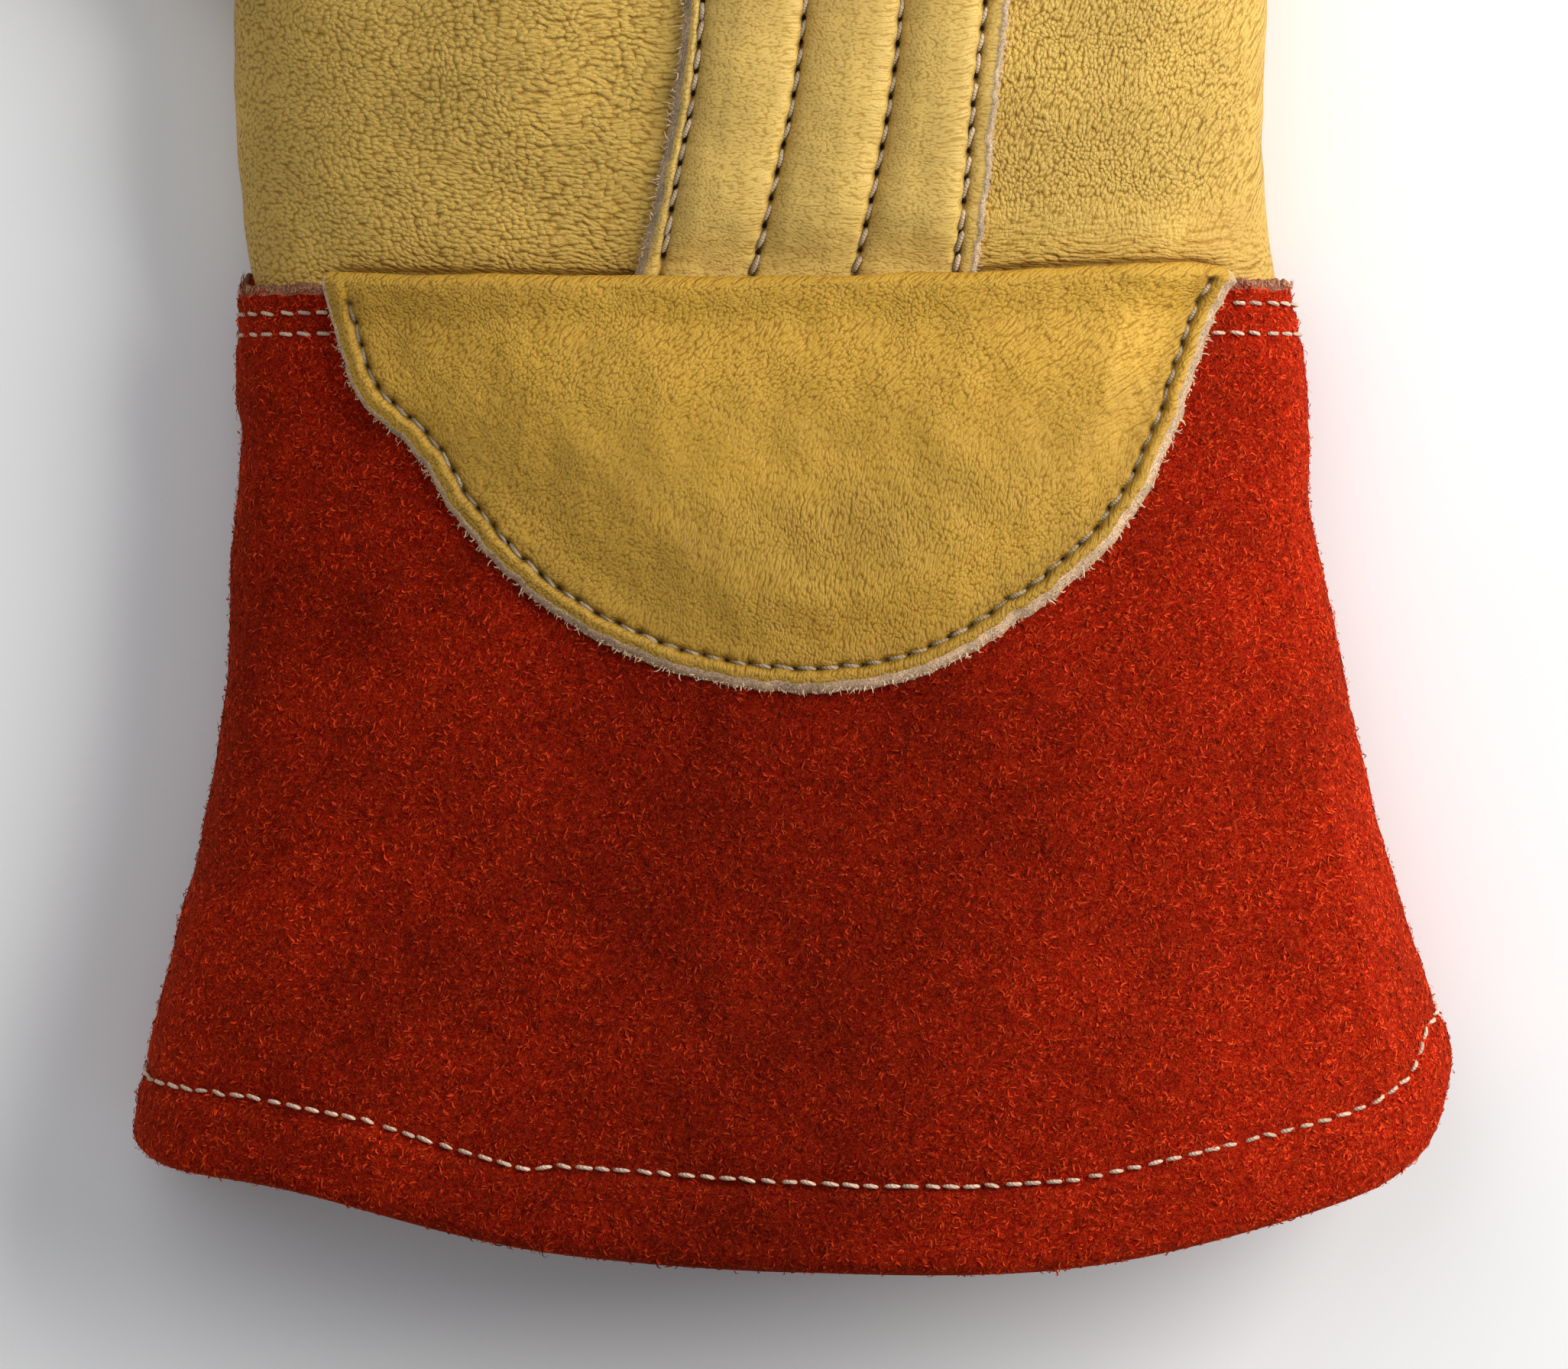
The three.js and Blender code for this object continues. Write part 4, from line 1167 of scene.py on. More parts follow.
def strip_lines(y):
    return read(STRIP, "y", y)


def channel(share):
    """The height of a channel across it, from 0 to 1: a slow rise from the line on its left, and a steep
    fall to the line on its right."""
    if share < 0.6:
        return (1 - (1 - share / 0.6) ** 2) ** 0.72
    return max(0.0, 1 - ((share - 0.6) / 0.4) ** 2.6) ** 0.6


# The strip's cross-section in millimetres: places in from a cut edge with their heights, and columns as
# shares of a rim or of a channel
LEFT_BEVEL = ((-0.12, -0.4), (0.0, 0.15), (0.2, 0.55), (0.5, 0.95), (0.8, 1.22))
RIGHT_BEVEL = ((0.7, 1.42), (0.44, 1.36), (0.2, 1.05), (0.02, 0.45), (-0.14, -0.4))
LEFT_RIM = (0, 0.15, 0.32, 0.5, 0.66, 0.8, 0.91)
RIGHT_RIM = (0, 0.1, 0.22, 0.36, 0.5, 0.66, 0.84, 1)
LEFT_RIM_INSET = 0.92
RIGHT_RIM_INSET = 0.88
LEFT_RIM_HEIGHT = 1.34
BEVEL_TOP = 1.2  # a column below this height belongs to a cut edge
BEVEL_SINK = 0.42  # how far a cut edge reaches down past the gap under the strip
BESIDE_LINE = np.array([0, 0.018, 0.04, 0.066, 0.095, 0.13, 0.17, 0.21])
STRIP_ROWS = 172


def strip_sheet():
    """The strip: cut edges that slope in, a rim outside each outer line, and between the lines three
    channels. Each line is drawn down, most of all at its needle holes, and the channels' edges bulge over
    it between the holes. Returns outer and inner points, which columns are cut edges, and the marks."""
    y = np.linspace(STRIP["y"][0], STRIP_END, STRIP_ROWS)[:, None]
    lines = strip_lines(y)
    puff = STRIP_PUFF * smooth((y - PUFF_START) / (PUFF_FULL - PUFF_START))
    puff = puff * smooth((CROSS_LINE - 0.4 - y) / 5)
    ragged = 0.16 * ripple(y, 0 * y, 4.5, 21) + 0.08 * ripple(y, 0 * y, 1.4, 22)
    ragged_right = 0.2 * ripple(y, 0 * y, 5.0, 23) + 0.18 * ripple(y, 0 * y, 1.2, 24)
    left, right = lines["left_edge"] + ragged, lines["right_edge"] + ragged_right
    # Columns from left to right: x, height, and whether the face to its right is a cut edge
    columns = [(left + inset, height + 0 * y, True) for inset, height in LEFT_BEVEL]
    for share in LEFT_RIM:
        x = mix(left + LEFT_RIM_INSET, lines["line1"], share)
        columns.append((x, LEFT_RIM_HEIGHT + 0.34 * math.sin(math.pi * share) + 0 * y, False))
    shares = np.concatenate([BESIDE_LINE, np.linspace(0.25, 0.75, 15), 1 - BESIDE_LINE[:0:-1]])
    for k in (1, 2, 3):
        for share in shares:
            x = mix(lines[f"line{k}"], lines[f"line{k + 1}"], share)
            columns.append((x, STRIP_WALL + puff * channel(share), False))
    for share in RIGHT_RIM:
        x = mix(lines["line4"], right - RIGHT_RIM_INSET, share)
        columns.append((x, STRIP_WALL + 0.12 * math.sin(math.pi * share) + 0 * y, share == 1))
    columns += [(right - inset, height + 0 * y, True) for inset, height in RIGHT_BEVEL]
    x = np.concatenate([column[0] for column in columns], axis=1)
    height = np.concatenate([column[1] for column in columns], axis=1)
    cut = np.array([column[2] for column in columns])
    hole, painted_shade, shift, drop = (np.zeros(x.shape) for _ in range(4))
    for k, pitch in enumerate(STRIP_PITCHES):
        away = x - lines[f"line{k + 1}"]
        pull = scallop(y, pitch)
        # Painted shadow at the needle holes
        hole = np.maximum(hole, bump(away, 0.3) * bump(np.minimum(y % pitch, pitch - y % pitch), 0.45))
        drop += 0.5 * bump(away, 0.45) + 0.34 * bump(away, 0.5) * pull
        free = 0.5 - pull
        shift += (0.1 if k == 0 else 0.26) * free * bump(away + 0.7, 0.75) - 0.1 * free * bump(away - 0.7, 0.6)
        # Painted shade in each line's groove and on the slope right of it, which faces away from the light
        painted_shade = np.maximum(painted_shade, 0.75 * bump(away, 0.5))
        painted_shade = np.maximum(painted_shade, 0.42 * bump(away - 1.2, 1.4))
    cross = y - CROSS_LINE
    drop += 0.4 * bump(cross, 0.45)
    # Painted shade in the cross line's groove
    painted_shade = np.maximum(painted_shade, 0.7 * bump(cross, 0.5))
    relief = 0.07 * ripple(x * 0.5, y, 1.9, 25) + 0.1 * ripple(x, y, 9, 26)
    inside = (height > BEVEL_TOP).astype(float)
    outer = laid(hand_section, x + shift, y + 0 * x, REST_GAP + height + relief * inside - drop * inside)
    inner = laid(hand_section, x, y + 0 * x, np.where(height > BEVEL_TOP, REST_GAP, REST_GAP - BEVEL_SINK))
    return outer, inner, cut, hole, painted_shade


class GLOVE_OT_strip(bpy.types.Operator):
    """Makes the padded strip on the palm"""

    bl_idname = "glove.strip"
    bl_label = "Palm strip"

    def execute(self, context):
        look = context.scene.glove_leather
        outer, inner, cut, hole, painted_shade = strip_sheet()
        shape = outer.shape[:2]
        index = np.arange(shape[0] * shape[1]).reshape(shape)
        quads = grid_quads(index)
        cut_faces = np.broadcast_to(cut[:-1], (shape[0] - 1, shape[1] - 1)).ravel()
        points, quads, triangles = thick(outer.reshape(-1, 3), inner.reshape(-1, 3), quads)
        finish_of = flesh_inside(quads, triangles, cut_faces)
        marks = {"painted_shade": np.tile(painted_shade.ravel(), 2), "hole": np.tile(hole.ravel(), 2)}
        depth = look.wrinkle / MM * STRIP_WRINKLE
        finishes = [strip_leather((*look.strip, 1), depth), raw_edge("cut edge", (*look.cut, 1))]
        make_piece(
            "strip_leather", points, quads, triangles, ("rib_strip",),
            finishes, finish_of, marks,
        )
        return {"FINISHED"}


# The patch


def fold_y(x):
    return read(PATCH_FOLD, "x", x)["y"]


def patch_boundary(step):
    """The patch's cut edge from the fold on the left round to the fold on the right, in even steps, with
    the direction inwards from it."""
    turn = np.linspace(PATCH_ARC["turn"][0], PATCH_ARC["turn"][-1], 2400)
    radius = read(PATCH_ARC, "turn", turn)["radius"]
    x = PATCH_CENTRE[0] + radius * np.cos(np.radians(turn))
    y = PATCH_CENTRE[1] + radius * np.sin(np.radians(turn))
    kept = y <= fold_y(x) - FOLD_RADIUS
    x, y = x[kept], y[kept]
    length = np.concatenate([[0], np.cumsum(np.hypot(np.diff(x), np.diff(y)))])
    along = np.linspace(0, length[-1], int(length[-1] / step) + 1)
    x, y = np.interp(along, length, x), np.interp(along, length, y)
    tangent = np.stack([np.gradient(x, along), np.gradient(y, along)], axis=1)
    tangent /= np.linalg.norm(tangent, axis=1, keepdims=True)
    inward = np.stack([-tangent[:, 1], tangent[:, 0]], axis=1)
    return along, np.stack([x, y], axis=1), inward


def raw_width(along, total):
    """Width of the pale cut edge: narrow on the left, wider round the bottom and on the right."""
    return np.interp(along / total, [0, 0.2, 0.45, 0.75, 1], [0.5, 0.6, 0.95, 1.1, 1.15])


def patch_sheet(step=0.62):
    """The patch. Rows run along its cut edge, first straight in from it over the bevel, the rim and the
    stitches, and then in straight columns to the fold. Beyond that the sheet rolls over a half circle and
    lies under itself. Returns outer and inner points, faces, which faces are cut, and the marks."""
    along, edge, inward = patch_boundary(step)
    total = along[-1]
    ends = np.minimum(along, total - along)
    ragged = 0.2 * ripple(along, 0 * along, 5.0, 41) + 0.1 * ripple(along, 0 * along, 1.5, 42)
    edge = edge - inward * ragged[:, None] * smooth(ends / 2)[:, None]
    raw = raw_width(along, total)
    bevel = np.array([-0.12, 0.0, 0.3, 0.62, 1.0])  # shares of the cut edge's width
    bevel_height = np.array([-0.4, 0.15, 0.6, 0.98, 1.22])
    rim = np.array([0.08, 0.22, 0.38, 0.54, 0.7, 0.84, 0.93])  # shares of the way from it to the stitches
    beyond = np.array([0.0, 0.12, 0.26, 0.42, 0.62, 0.9, 1.25, 1.7, PATCH_BAND - PATCH_LINE])
    inset = np.concatenate(
        [
            bevel[:, None] * raw,
            raw + rim[:, None] * (PATCH_LINE - raw),
            PATCH_LINE + np.repeat(beyond[:, None], len(along), axis=1),
        ]
    )
    thickness = np.concatenate([bevel_height, np.full(len(rim) + len(beyond), PATCH_WALL)])[:, None]
    band = edge[None] + inward[None] * inset[..., None]
    # The first and the last column lie along the line where the roll starts, and the others below it
    line = fold_y(band[..., 0]) - FOLD_RADIUS
    fall = np.maximum(line - band[..., 1], 0.3 * ends[None]) * np.sqrt(np.clip(ends / 2.5, 0, 1))[None]
    band[..., 1] = line - fall
    rows = 74
    share = (np.arange(1, rows + 1) / rows)[:, None]
    start = band[-1]
    across = (start[:, 0] - start[0, 0]) / (start[-1, 0] - start[0, 0])
    goal_x = mix(start[0, 0] + 7, start[-1, 0] - 7, across)
    middle_x = mix(start[:, 0], goal_x, share)
    middle_y = fold_y(middle_x) - FOLD_RADIUS - (1 - share) * fall[-1]
    middle = np.stack([middle_x, middle_y], axis=-1)
    plan = np.concatenate([band, middle])
    further = np.maximum(0, ((middle - start[None]) * inward[None]).sum(axis=2))
    inset = np.concatenate([inset, PATCH_BAND + further])
    thickness = np.concatenate([np.repeat(thickness, len(along), axis=1), np.full(further.shape, PATCH_WALL)])
    x, y = plan[..., 0], plan[..., 1]
    below_fold = fold_y(x) - FOLD_RADIUS - y
    # Heights: the underside rises over the padding and up to the roll, and the outside follows it
    shrink = smooth(below_fold / 14)
    slope = mix(20, 9, smooth((x + 40) / 50))
    puffed = PATCH_PUFF * smooth((inset - 3.6) / slope) * mix(0.35, 1, shrink)
    folded = 2 * FOLD_RADIUS - PATCH_WALL
    near_fold = smooth(1 - below_fold / FOLD_REACH)
    under = np.maximum(mix(puffed, folded, near_fold), 0)
    away = inset - PATCH_LINE
    path, at = patch_line_path()
    pull = scallop(np.interp(along, at, path.lengths), PATCH_PITCH)[None, :]
    stitched = smooth((np.minimum(along - 2.1, total - along) - 0.2) / 0.9)[None, :]
    # Painted shadow at the needle holes
    hole = bump(away, 0.3) * bump((1 - pull) * 0.9, 0.25) * stitched
    drop = (0.45 * bump(away, 0.45) + 0.4 * bump(away, 0.5) * pull) * stitched
    rim_rise = 0.38 * np.clip(1 - np.abs(away + 1.0) / 1.0, 0, 1) ** 0.7 * smooth((inset - raw * 0.9) / 0.4)
    # Painted shade in the stitches' groove, lightly on the rim, and on the middle's edge beside the stitches
    painted_shade = np.maximum(0.8 * bump(away, 0.5), 0.15 * smooth(-away / 0.3) * smooth((inset - raw) / 0.2))
    painted_shade = np.maximum(painted_shade, 0.35 * bump(away - 1.2, 0.9)) * stitched
    soft = (0.3 * ripple(x, y, 24, 43) + 0.1 * ripple(x, y, 7, 44)) * smooth(away / 5)
    crinkle = 0.06 * ripple(x, y, 1.8, 45) * (inset > raw)
    lean = 0.3 * (0.5 - pull) * bump(away - 0.75, 0.7) * stitched
    body = thickness >= PATCH_WALL
    height = under + thickness + (rim_rise + soft + crinkle - drop) * body
    shift = -inward[None] * lean[..., None]
    outer = laid(below_patch, x + shift[..., 0], y + shift[..., 1], REST_GAP + height)
    inner = laid(below_patch, x, y, REST_GAP + under + np.where(body, 0, -0.42) * (1 - near_fold))
    count = plan.shape[0] * plan.shape[1]
    index = np.arange(count).reshape(plan.shape[:2])
    # The roll starts from the chain of points along its line, from the left cut edge to the right one
    chain = np.concatenate([index[:, 0], index[-1, 1:-1], index[::-1, -1]])
    wall = thickness.ravel()[chain]
    wall = np.where(wall < PATCH_WALL, np.maximum(wall, 0.0), PATCH_WALL)
    chain_x = x.ravel()[chain]
    angles = np.radians([112, 134, 157, 180, 205, 230, 255, 270])[:, None]
    hollow = FOLD_RADIUS - PATCH_WALL
    distance = FOLD_RADIUS + (hollow + wall) * np.cos(angles)
    roll = FOLD_RADIUS + (hollow + wall) * np.sin(angles)
    inner_distance = FOLD_RADIUS + hollow * np.cos(angles) + 0 * wall
    inner_roll = FOLD_RADIUS + hollow * np.sin(angles) + 0 * wall
    tongue = np.linspace(FOLD_RADIUS, TONGUE, 4)[1:, None]
    room = np.clip((ends_of_chain(chain_x)) * 0.8, 0.6, TONGUE)
    tongue = FOLD_RADIUS + (tongue - FOLD_RADIUS) * (room / TONGUE)
    distance = np.concatenate([distance, tongue])
    roll = np.concatenate([roll, np.repeat((PATCH_WALL - wall)[None], 3, axis=0)])
    inner_distance = np.concatenate([inner_distance, tongue])
    inner_roll = np.concatenate([inner_roll, np.full((3, len(chain)), PATCH_WALL)])
    line = fold_y(chain_x)
    soft_roll = 0.18 * ripple(chain_x, 0 * chain_x, 17, 46) + 0.08 * ripple(chain_x, 0 * chain_x, 5, 47)
    out = smooth(np.arange(1, len(distance) + 1) / 3)[:, None] * soft_roll
    roll_outer = laid(below_patch, chain_x + 0 * distance, line - distance + out, REST_GAP + roll)
    roll_inner = laid(below_patch, chain_x + 0 * distance, line - inner_distance + out, REST_GAP + inner_roll)
    roll_index = np.concatenate([chain[None], count + np.arange(distance.size).reshape(distance.shape)])
    quads = np.concatenate([grid_quads(index), grid_quads(roll_index)])
    cut_top = np.zeros((index.shape[0] - 1, index.shape[1] - 1), bool)
    cut_top[: len(bevel)] = True
    bevelled = wall < PATCH_WALL
    cut_roll = np.broadcast_to(bevelled[:-1] | bevelled[1:], (roll_index.shape[0] - 1, len(chain) - 1))
    cut = np.concatenate([cut_top.ravel(), cut_roll.ravel()])
    outer = np.concatenate([outer.reshape(-1, 3), roll_outer.reshape(-1, 3)])
    inner = np.concatenate([inner.reshape(-1, 3), roll_inner.reshape(-1, 3)])
    rest = np.zeros(roll_outer.shape[0] * roll_outer.shape[1])
    marks = {"painted_shade": np.concatenate([painted_shade.ravel(), rest]), "hole": np.concatenate([hole.ravel(), rest])}
    return outer, inner, quads, cut, marks


def ends_of_chain(x):
    """How far a place on the fold lies from its nearer end."""
    return np.minimum(x - x.min(), x.max() - x)


class GLOVE_OT_patch(bpy.types.Operator):
    """Makes the half-moon patch over the wrist"""

    bl_idname = "glove.patch"
    bl_label = "Wrist patch"

    def execute(self, context):
        look = context.scene.glove_leather
        outer, inner, quads, cut, marks = patch_sheet()
        points, quads, triangles = thick(outer, inner, quads)
        finish_of = flesh_inside(quads, triangles, cut)
        marks = {name: np.tile(values, 2) for name, values in marks.items()}
        pale = raw_edge("patch cut edge", shaded(look.cut, PATCH_EDGE))
        finishes = [patch_leather((*look.patch, 1), look.wrinkle / MM * PATCH_WRINKLE), pale]
        make_piece(
            "patch_leather", points, quads, triangles, ("wrist_patch",),
            finishes, finish_of, marks,
        )
        return {"FINISHED"}


# The cuff


def hem_row_turns():
    """The hem's row of stitches as y against the turn round the cuff. On the front it follows the row seen
    from above, and behind it runs level with the hem's height."""
    shape = cuff_section(HEM_ROW["y"])
    turns = turn_over(shape, HEM_ROW["x"])
    order = np.argsort(turns)
    front_turns, front_y = turns[order], HEM_ROW["y"][order]
    back_turns = np.linspace(200, 340, 15)
    back_y = read(HEM, "turn", back_turns)["y"] + HEM_DEPTH - 0.6
    turns = np.concatenate([back_turns[-2:] - 360, front_turns, back_turns, front_turns[:1] + 360])
    y = np.concatenate([back_y[-2:], front_y, back_y, front_y[:1]])
    return turns, y


ROW_TURNS, ROW_Y = hem_row_turns()


def hem_row(turn):
    return np.interp(turn, ROW_TURNS, ROW_Y)


def cuff_place(turn, y):
    x, z = section_point(cuff_section(y), turn)
    return np.stack(np.broadcast_arrays(x, y, z), axis=-1)


def cuff_top(turn):
    """The cuff's top edge. The front's left corner stands a little higher."""
    corner = 1.9 * smooth((turn - 176) / 8) * smooth((216 - turn) / 10)
    return read(CUFF_TOP, "turn", turn)["y"] + corner


def cuff_relief(points, turn, height, seam_away):
    """How far the cuff stands off its plain form: the ridge on its right side, the grooves of its rows of
    stitches, soft ripples, and the scratch low on its front."""
    x, y, z = points[..., 0], points[..., 1], points[..., 2]
    on_front = smooth((z - 9) / 4)
    ridge = read(RIDGE, "y", y)
    reach = np.where(x > ridge["x"], RIDGE_REACH[1], RIDGE_REACH[0])
    rise = ridge["rise"] * np.exp(-np.sqrt((x - ridge["x"]) ** 2 + 0.5) / reach) * on_front
    rise += 0.35 * ripple(x, y, 30, 51) + 0.16 * ripple(x, y, 11, 52) + 0.1 * ripple(x, y + z, 3.4, 53)
    rows = read(TOP_ROWS, "turn", np.where(turn > 215, turn - 360, turn))
    groove = ROW_GROOVE * (bump(y - rows["upper"], ROW_REACH) + bump(y - rows["lower"], ROW_REACH))
    groove += 1.4 * ROW_GROOVE * bump(y - hem_row(turn), ROW_REACH * 1.2)
    puffed = 0.35 * smooth((hem_row(turn) - y) / 3) * smooth(height / 2.5)
    (ax, ay), (bx, by) = SCRATCH
    t = np.clip(((x - ax) * (bx - ax) + (y - ay) * (by - ay)) / ((bx - ax) ** 2 + (by - ay) ** 2), 0, 1)
    away = np.hypot(x - mix(ax, bx, t), y - mix(ay, by, t))
    groove += 0.5 * bump(away, 0.5) * on_front
    return rise * smooth(seam_away / 4) + puffed - groove


def cuff_sheet(face):
    """One face of the cuff. Its rows follow the hem at the bottom and lie level at the top. The hem is
    twice as thick and closes in a half circle, and inside it ends in a step. Returns the points, the
    thickness, how far the outside is set in, and its relief."""
    start, end = (200, -20) if face == "front" else (200, 340)
    shape = cuff_section(-60.0)
    x, z = section_point(shape, np.linspace(start, end, 400))
    step = CUFF_STEP if face == "front" else 1.5 * CUFF_STEP
    columns = int(np.hypot(np.diff(x), np.diff(z)).sum() / step)
    turn = even_turns(shape, start, end, columns)[None, :]
    hem, top = read(HEM, "turn", turn)["y"], cuff_top(turn)
    near = np.array([0.04, 0.2, 0.45, 0.8, 1.25, 1.8])[:, None] + 0 * turn
    steps = int((HEM_DEPTH - 1.8) / step)
    lower = mix(1.8, HEM_DEPTH - 0.15, np.linspace(0, 1, steps + 1)[1:, None]) + 0 * turn
    upper_rows = int(115 / step)
    upper = mix(HEM_DEPTH + 0.15, (top - hem) - 1.4, np.linspace(0, 1, upper_rows)[:, None])
    last = (top - hem) - np.array([0.9, 0.45, 0.15, 0.0])[:, None]
    height = np.concatenate([near, lower, upper, last])
    wall = np.where(height <= HEM_DEPTH, HEM_WALL, SUEDE)
    round_off = np.clip(1 - (1 - height / HEM_ROUND).clip(0, 1) ** 2, 0, 1) ** 0.5
    wall = np.where(height < HEM_ROUND, HEM_WALL * round_off, wall)
    depth = np.where(height < HEM_ROUND, (HEM_WALL - wall) / 2, 0.0)
    from_top = (top - hem) - height
    depth = depth + 0.75 * np.clip(1 - from_top / 0.9, 0, 1) ** 1.5
    y = hem + height
    grid = cuff_place(turn, y)
    seam_away = seam_distance(grid)
    rise = cuff_relief(grid, turn + 0 * y, height, seam_away)
    ragged = 0.18 * ripple(turn * 1.2, 0 * turn, 5, 54) + 0.1 * ripple(turn * 1.2, 0 * turn, 1.8, 55)
    grid[-4:, :, 1] += ragged
    groove = 1.1 * bump(seam_away, 1.5)
    return grid, wall, depth, rise - groove


def cuff_wall(face):
    """The points and faces of one face of the cuff with its thickness."""
    grid, wall, depth, rise = cuff_sheet(face)
    index = np.arange(grid.shape[0] * grid.shape[1]).reshape(grid.shape[:2])
    quads = grid_quads(index)
    if face == "back":
        quads = quads[:, ::-1]
    points = grid.reshape(-1, 3)
    normals = normals_of(points, quads)
    ends = index[:, [0, -1]].ravel()
    normals[ends, 2] = 0
    normals /= np.linalg.norm(normals, axis=1, keepdims=True)
    outer = points + normals * (rise - depth).reshape(-1, 1)
    outer[ends, 2] += GAP / 2 if face == "front" else -GAP / 2
    outer[:, 2] = np.maximum(outer[:, 2], 0.0)
    inner = outer - normals * wall.reshape(-1, 1)
    return outer, inner, quads, index


class GLOVE_OT_cuff(bpy.types.Operator):
    """Makes the two suede panels of the cuff, and the seam edge that stands out above them"""

    bl_idname = "glove.cuff"
    bl_label = "Cuff"

    def execute(self, context):
        look = context.scene.glove_suede
        cut = context.scene.glove_leather.cut
        deep, tip = (*look.deep, 1), (*look.tip, 1)
        edge = raw_edge("suede cut edge", shaded(cut, CUFF_EDGE))
        finishes = [suede("suede under its nap", deep, tip), edge]
        for face in ("front", "back"):
            outer, inner, quads, index = cuff_wall(face)
            top_faces = np.zeros((index.shape[0] - 1, index.shape[1] - 1), bool)
            top_faces[-3:] = True
            points, quads, triangles = thick(outer, inner, quads)
            finish_of = np.zeros(len(quads), int)
            finish_of[: top_faces.size][top_faces.ravel()] = 1
            make_piece(
                f"cuff_{face}_suede", points, quads, triangles, (f"cuff_{face}",),
                finishes, finish_of,
            )
        points, quads = seam_edge()
        finish = raw_edge("seam edge", shaded(cut, SEAM_EDGE), 0.5)
        make_piece("seam_edge", points, quads, None, (), [finish])
        return {"FINISHED"}


def ring_quads(rings, sides):
    """Faces of a closed tube that also closes on itself, of rings with that many sides."""
    index = np.arange(rings * sides).reshape(rings, sides)
    index = np.concatenate([index, index[:1]])
    index = np.concatenate([index, index[:, :1]], axis=1)
    return grid_quads(index)


SEAM_RINGS = 420
SEAM_SIDES = 8


def seam_edge():
    """The cut edge of the seam allowance above the cuff: an oval carried round the wrist just inside the
    cuff's top edge, uneven as a torn edge is."""
    turn = np.linspace(0, 360, SEAM_RINGS, endpoint=False)[:, None]
    around = np.linspace(0, math.tau, SEAM_SIDES, endpoint=False)[None, :]
    uneven = 0.22 * ripple(turn * 1.2, 0 * turn, 6, 61) + 0.16 * ripple(turn * 1.2, 0 * turn, 2, 62)
    base = np.where(turn > 325, turn - 360, turn)
    y = cuff_top(base) - 0.35 + (0.85 + uneven) * np.sin(around)
    row = read(CUFF, "y", y)
    inset = 0.75 - 0.42 * np.cos(around)
    shape = {
        "middle": (row["left"] + row["right"]) / 2,
        "half": (row["right"] - row["left"]) / 2 - inset,
        "top": row["top"] - inset,
        "side": row["side"],
        "floor": inset,
        "power": FULLNESS,
    }
    x, z = section_point(shape, turn)
    points = np.stack(np.broadcast_arrays(x, y, z), axis=-1).reshape(-1, 3)
    return points, ring_quads(SEAM_RINGS, SEAM_SIDES)


# Stitches


class Path:
    """A row on a surface, read at lengths along it: its places, its direction, the surface's normal and
    the direction across."""

    def __init__(self, points, normals, lengths=None):
        self.points, self.normals = points, normals
        steps = np.linalg.norm(np.diff(points, axis=0), axis=1)
        self.lengths = np.concatenate([[0], np.cumsum(steps)]) if lengths is None else lengths
        self.length = self.lengths[-1]

    def pick(self, values, at):
        return np.stack([np.interp(at, self.lengths, values[:, k]) for k in range(3)], axis=-1)

    def at(self, along):
        place, normal = self.pick(self.points, along), self.pick(self.normals, along)
        ahead = self.pick(self.points, along + 0.1) - self.pick(self.points, along - 0.1)
        ahead /= np.linalg.norm(ahead, axis=-1, keepdims=True)
        across = np.cross(ahead, normal)
        across /= np.linalg.norm(across, axis=-1, keepdims=True)
        return place, ahead, across, np.cross(across, ahead)


FLOOR_GAP = 0.02  # how far threads and fibres stay above the floor
STITCH_SIDES = 8
STITCH_PLACES = np.array([-0.5, -0.36, 0.0, 0.36, 0.5])


def stitches(path, pitch, length, radius, rng, first=0.0, tilt=8.0, rise=0.25, dive=0.45):
    """Short threads along a path. A thread's middle line bows up from the surface by the square of the
    way from its middle, its round section is pinched twice a turn as two plies are, and the pinch turns
    along it. Returns the rings' points, the tips, and the lengths at which the needle holes lie."""
    middle = np.arange(first + pitch / 2, path.length - pitch * 0.3, pitch)
    middle = middle + rng.normal(0, 0.06 * pitch, len(middle))
    lengths = length * rng.uniform(0.84, 1.08, len(middle))
    along = STITCH_PLACES[None, :] * lengths[:, None]
    place, ahead, across, normal = path.at(middle[:, None] + along)
    lean = np.tan(np.radians(tilt + rng.normal(0, 4.5, len(middle))))[:, None] * along
    height = radius * (rise - (rise + dive) * (2 * STITCH_PLACES[None, :]) ** 2) * np.ones(lean.shape)
    height = height + rng.uniform(-0.4, 0.15, (len(middle), 1)) * radius
    centre = place + across * lean[..., None] + normal * height[..., None]
    around = np.linspace(0, math.tau, STITCH_SIDES, endpoint=False)
    twist = 3.6 * STITCH_PLACES[:, None] + rng.uniform(0, math.pi, (len(middle), 1, 1))
    pinch = 1 + 0.14 * np.cos(2 * (around[None, None, :] - twist))
    width = np.array([0.62, 0.97, 1.04, 0.97, 0.62])[None, :, None] * pinch * radius
    rings = centre[:, :, None, :] + width[..., None] * (
        np.cos(around)[None, None, :, None] * across[:, :, None, :]
        + np.sin(around)[None, None, :, None] * normal[:, :, None, :]
    )
    tips = np.stack(
        [centre[:, 0] - ahead[:, 0] * radius * 0.45, centre[:, -1] + ahead[:, -1] * radius * 0.45], axis=1
    )
    return rings, tips, middle - pitch / 2


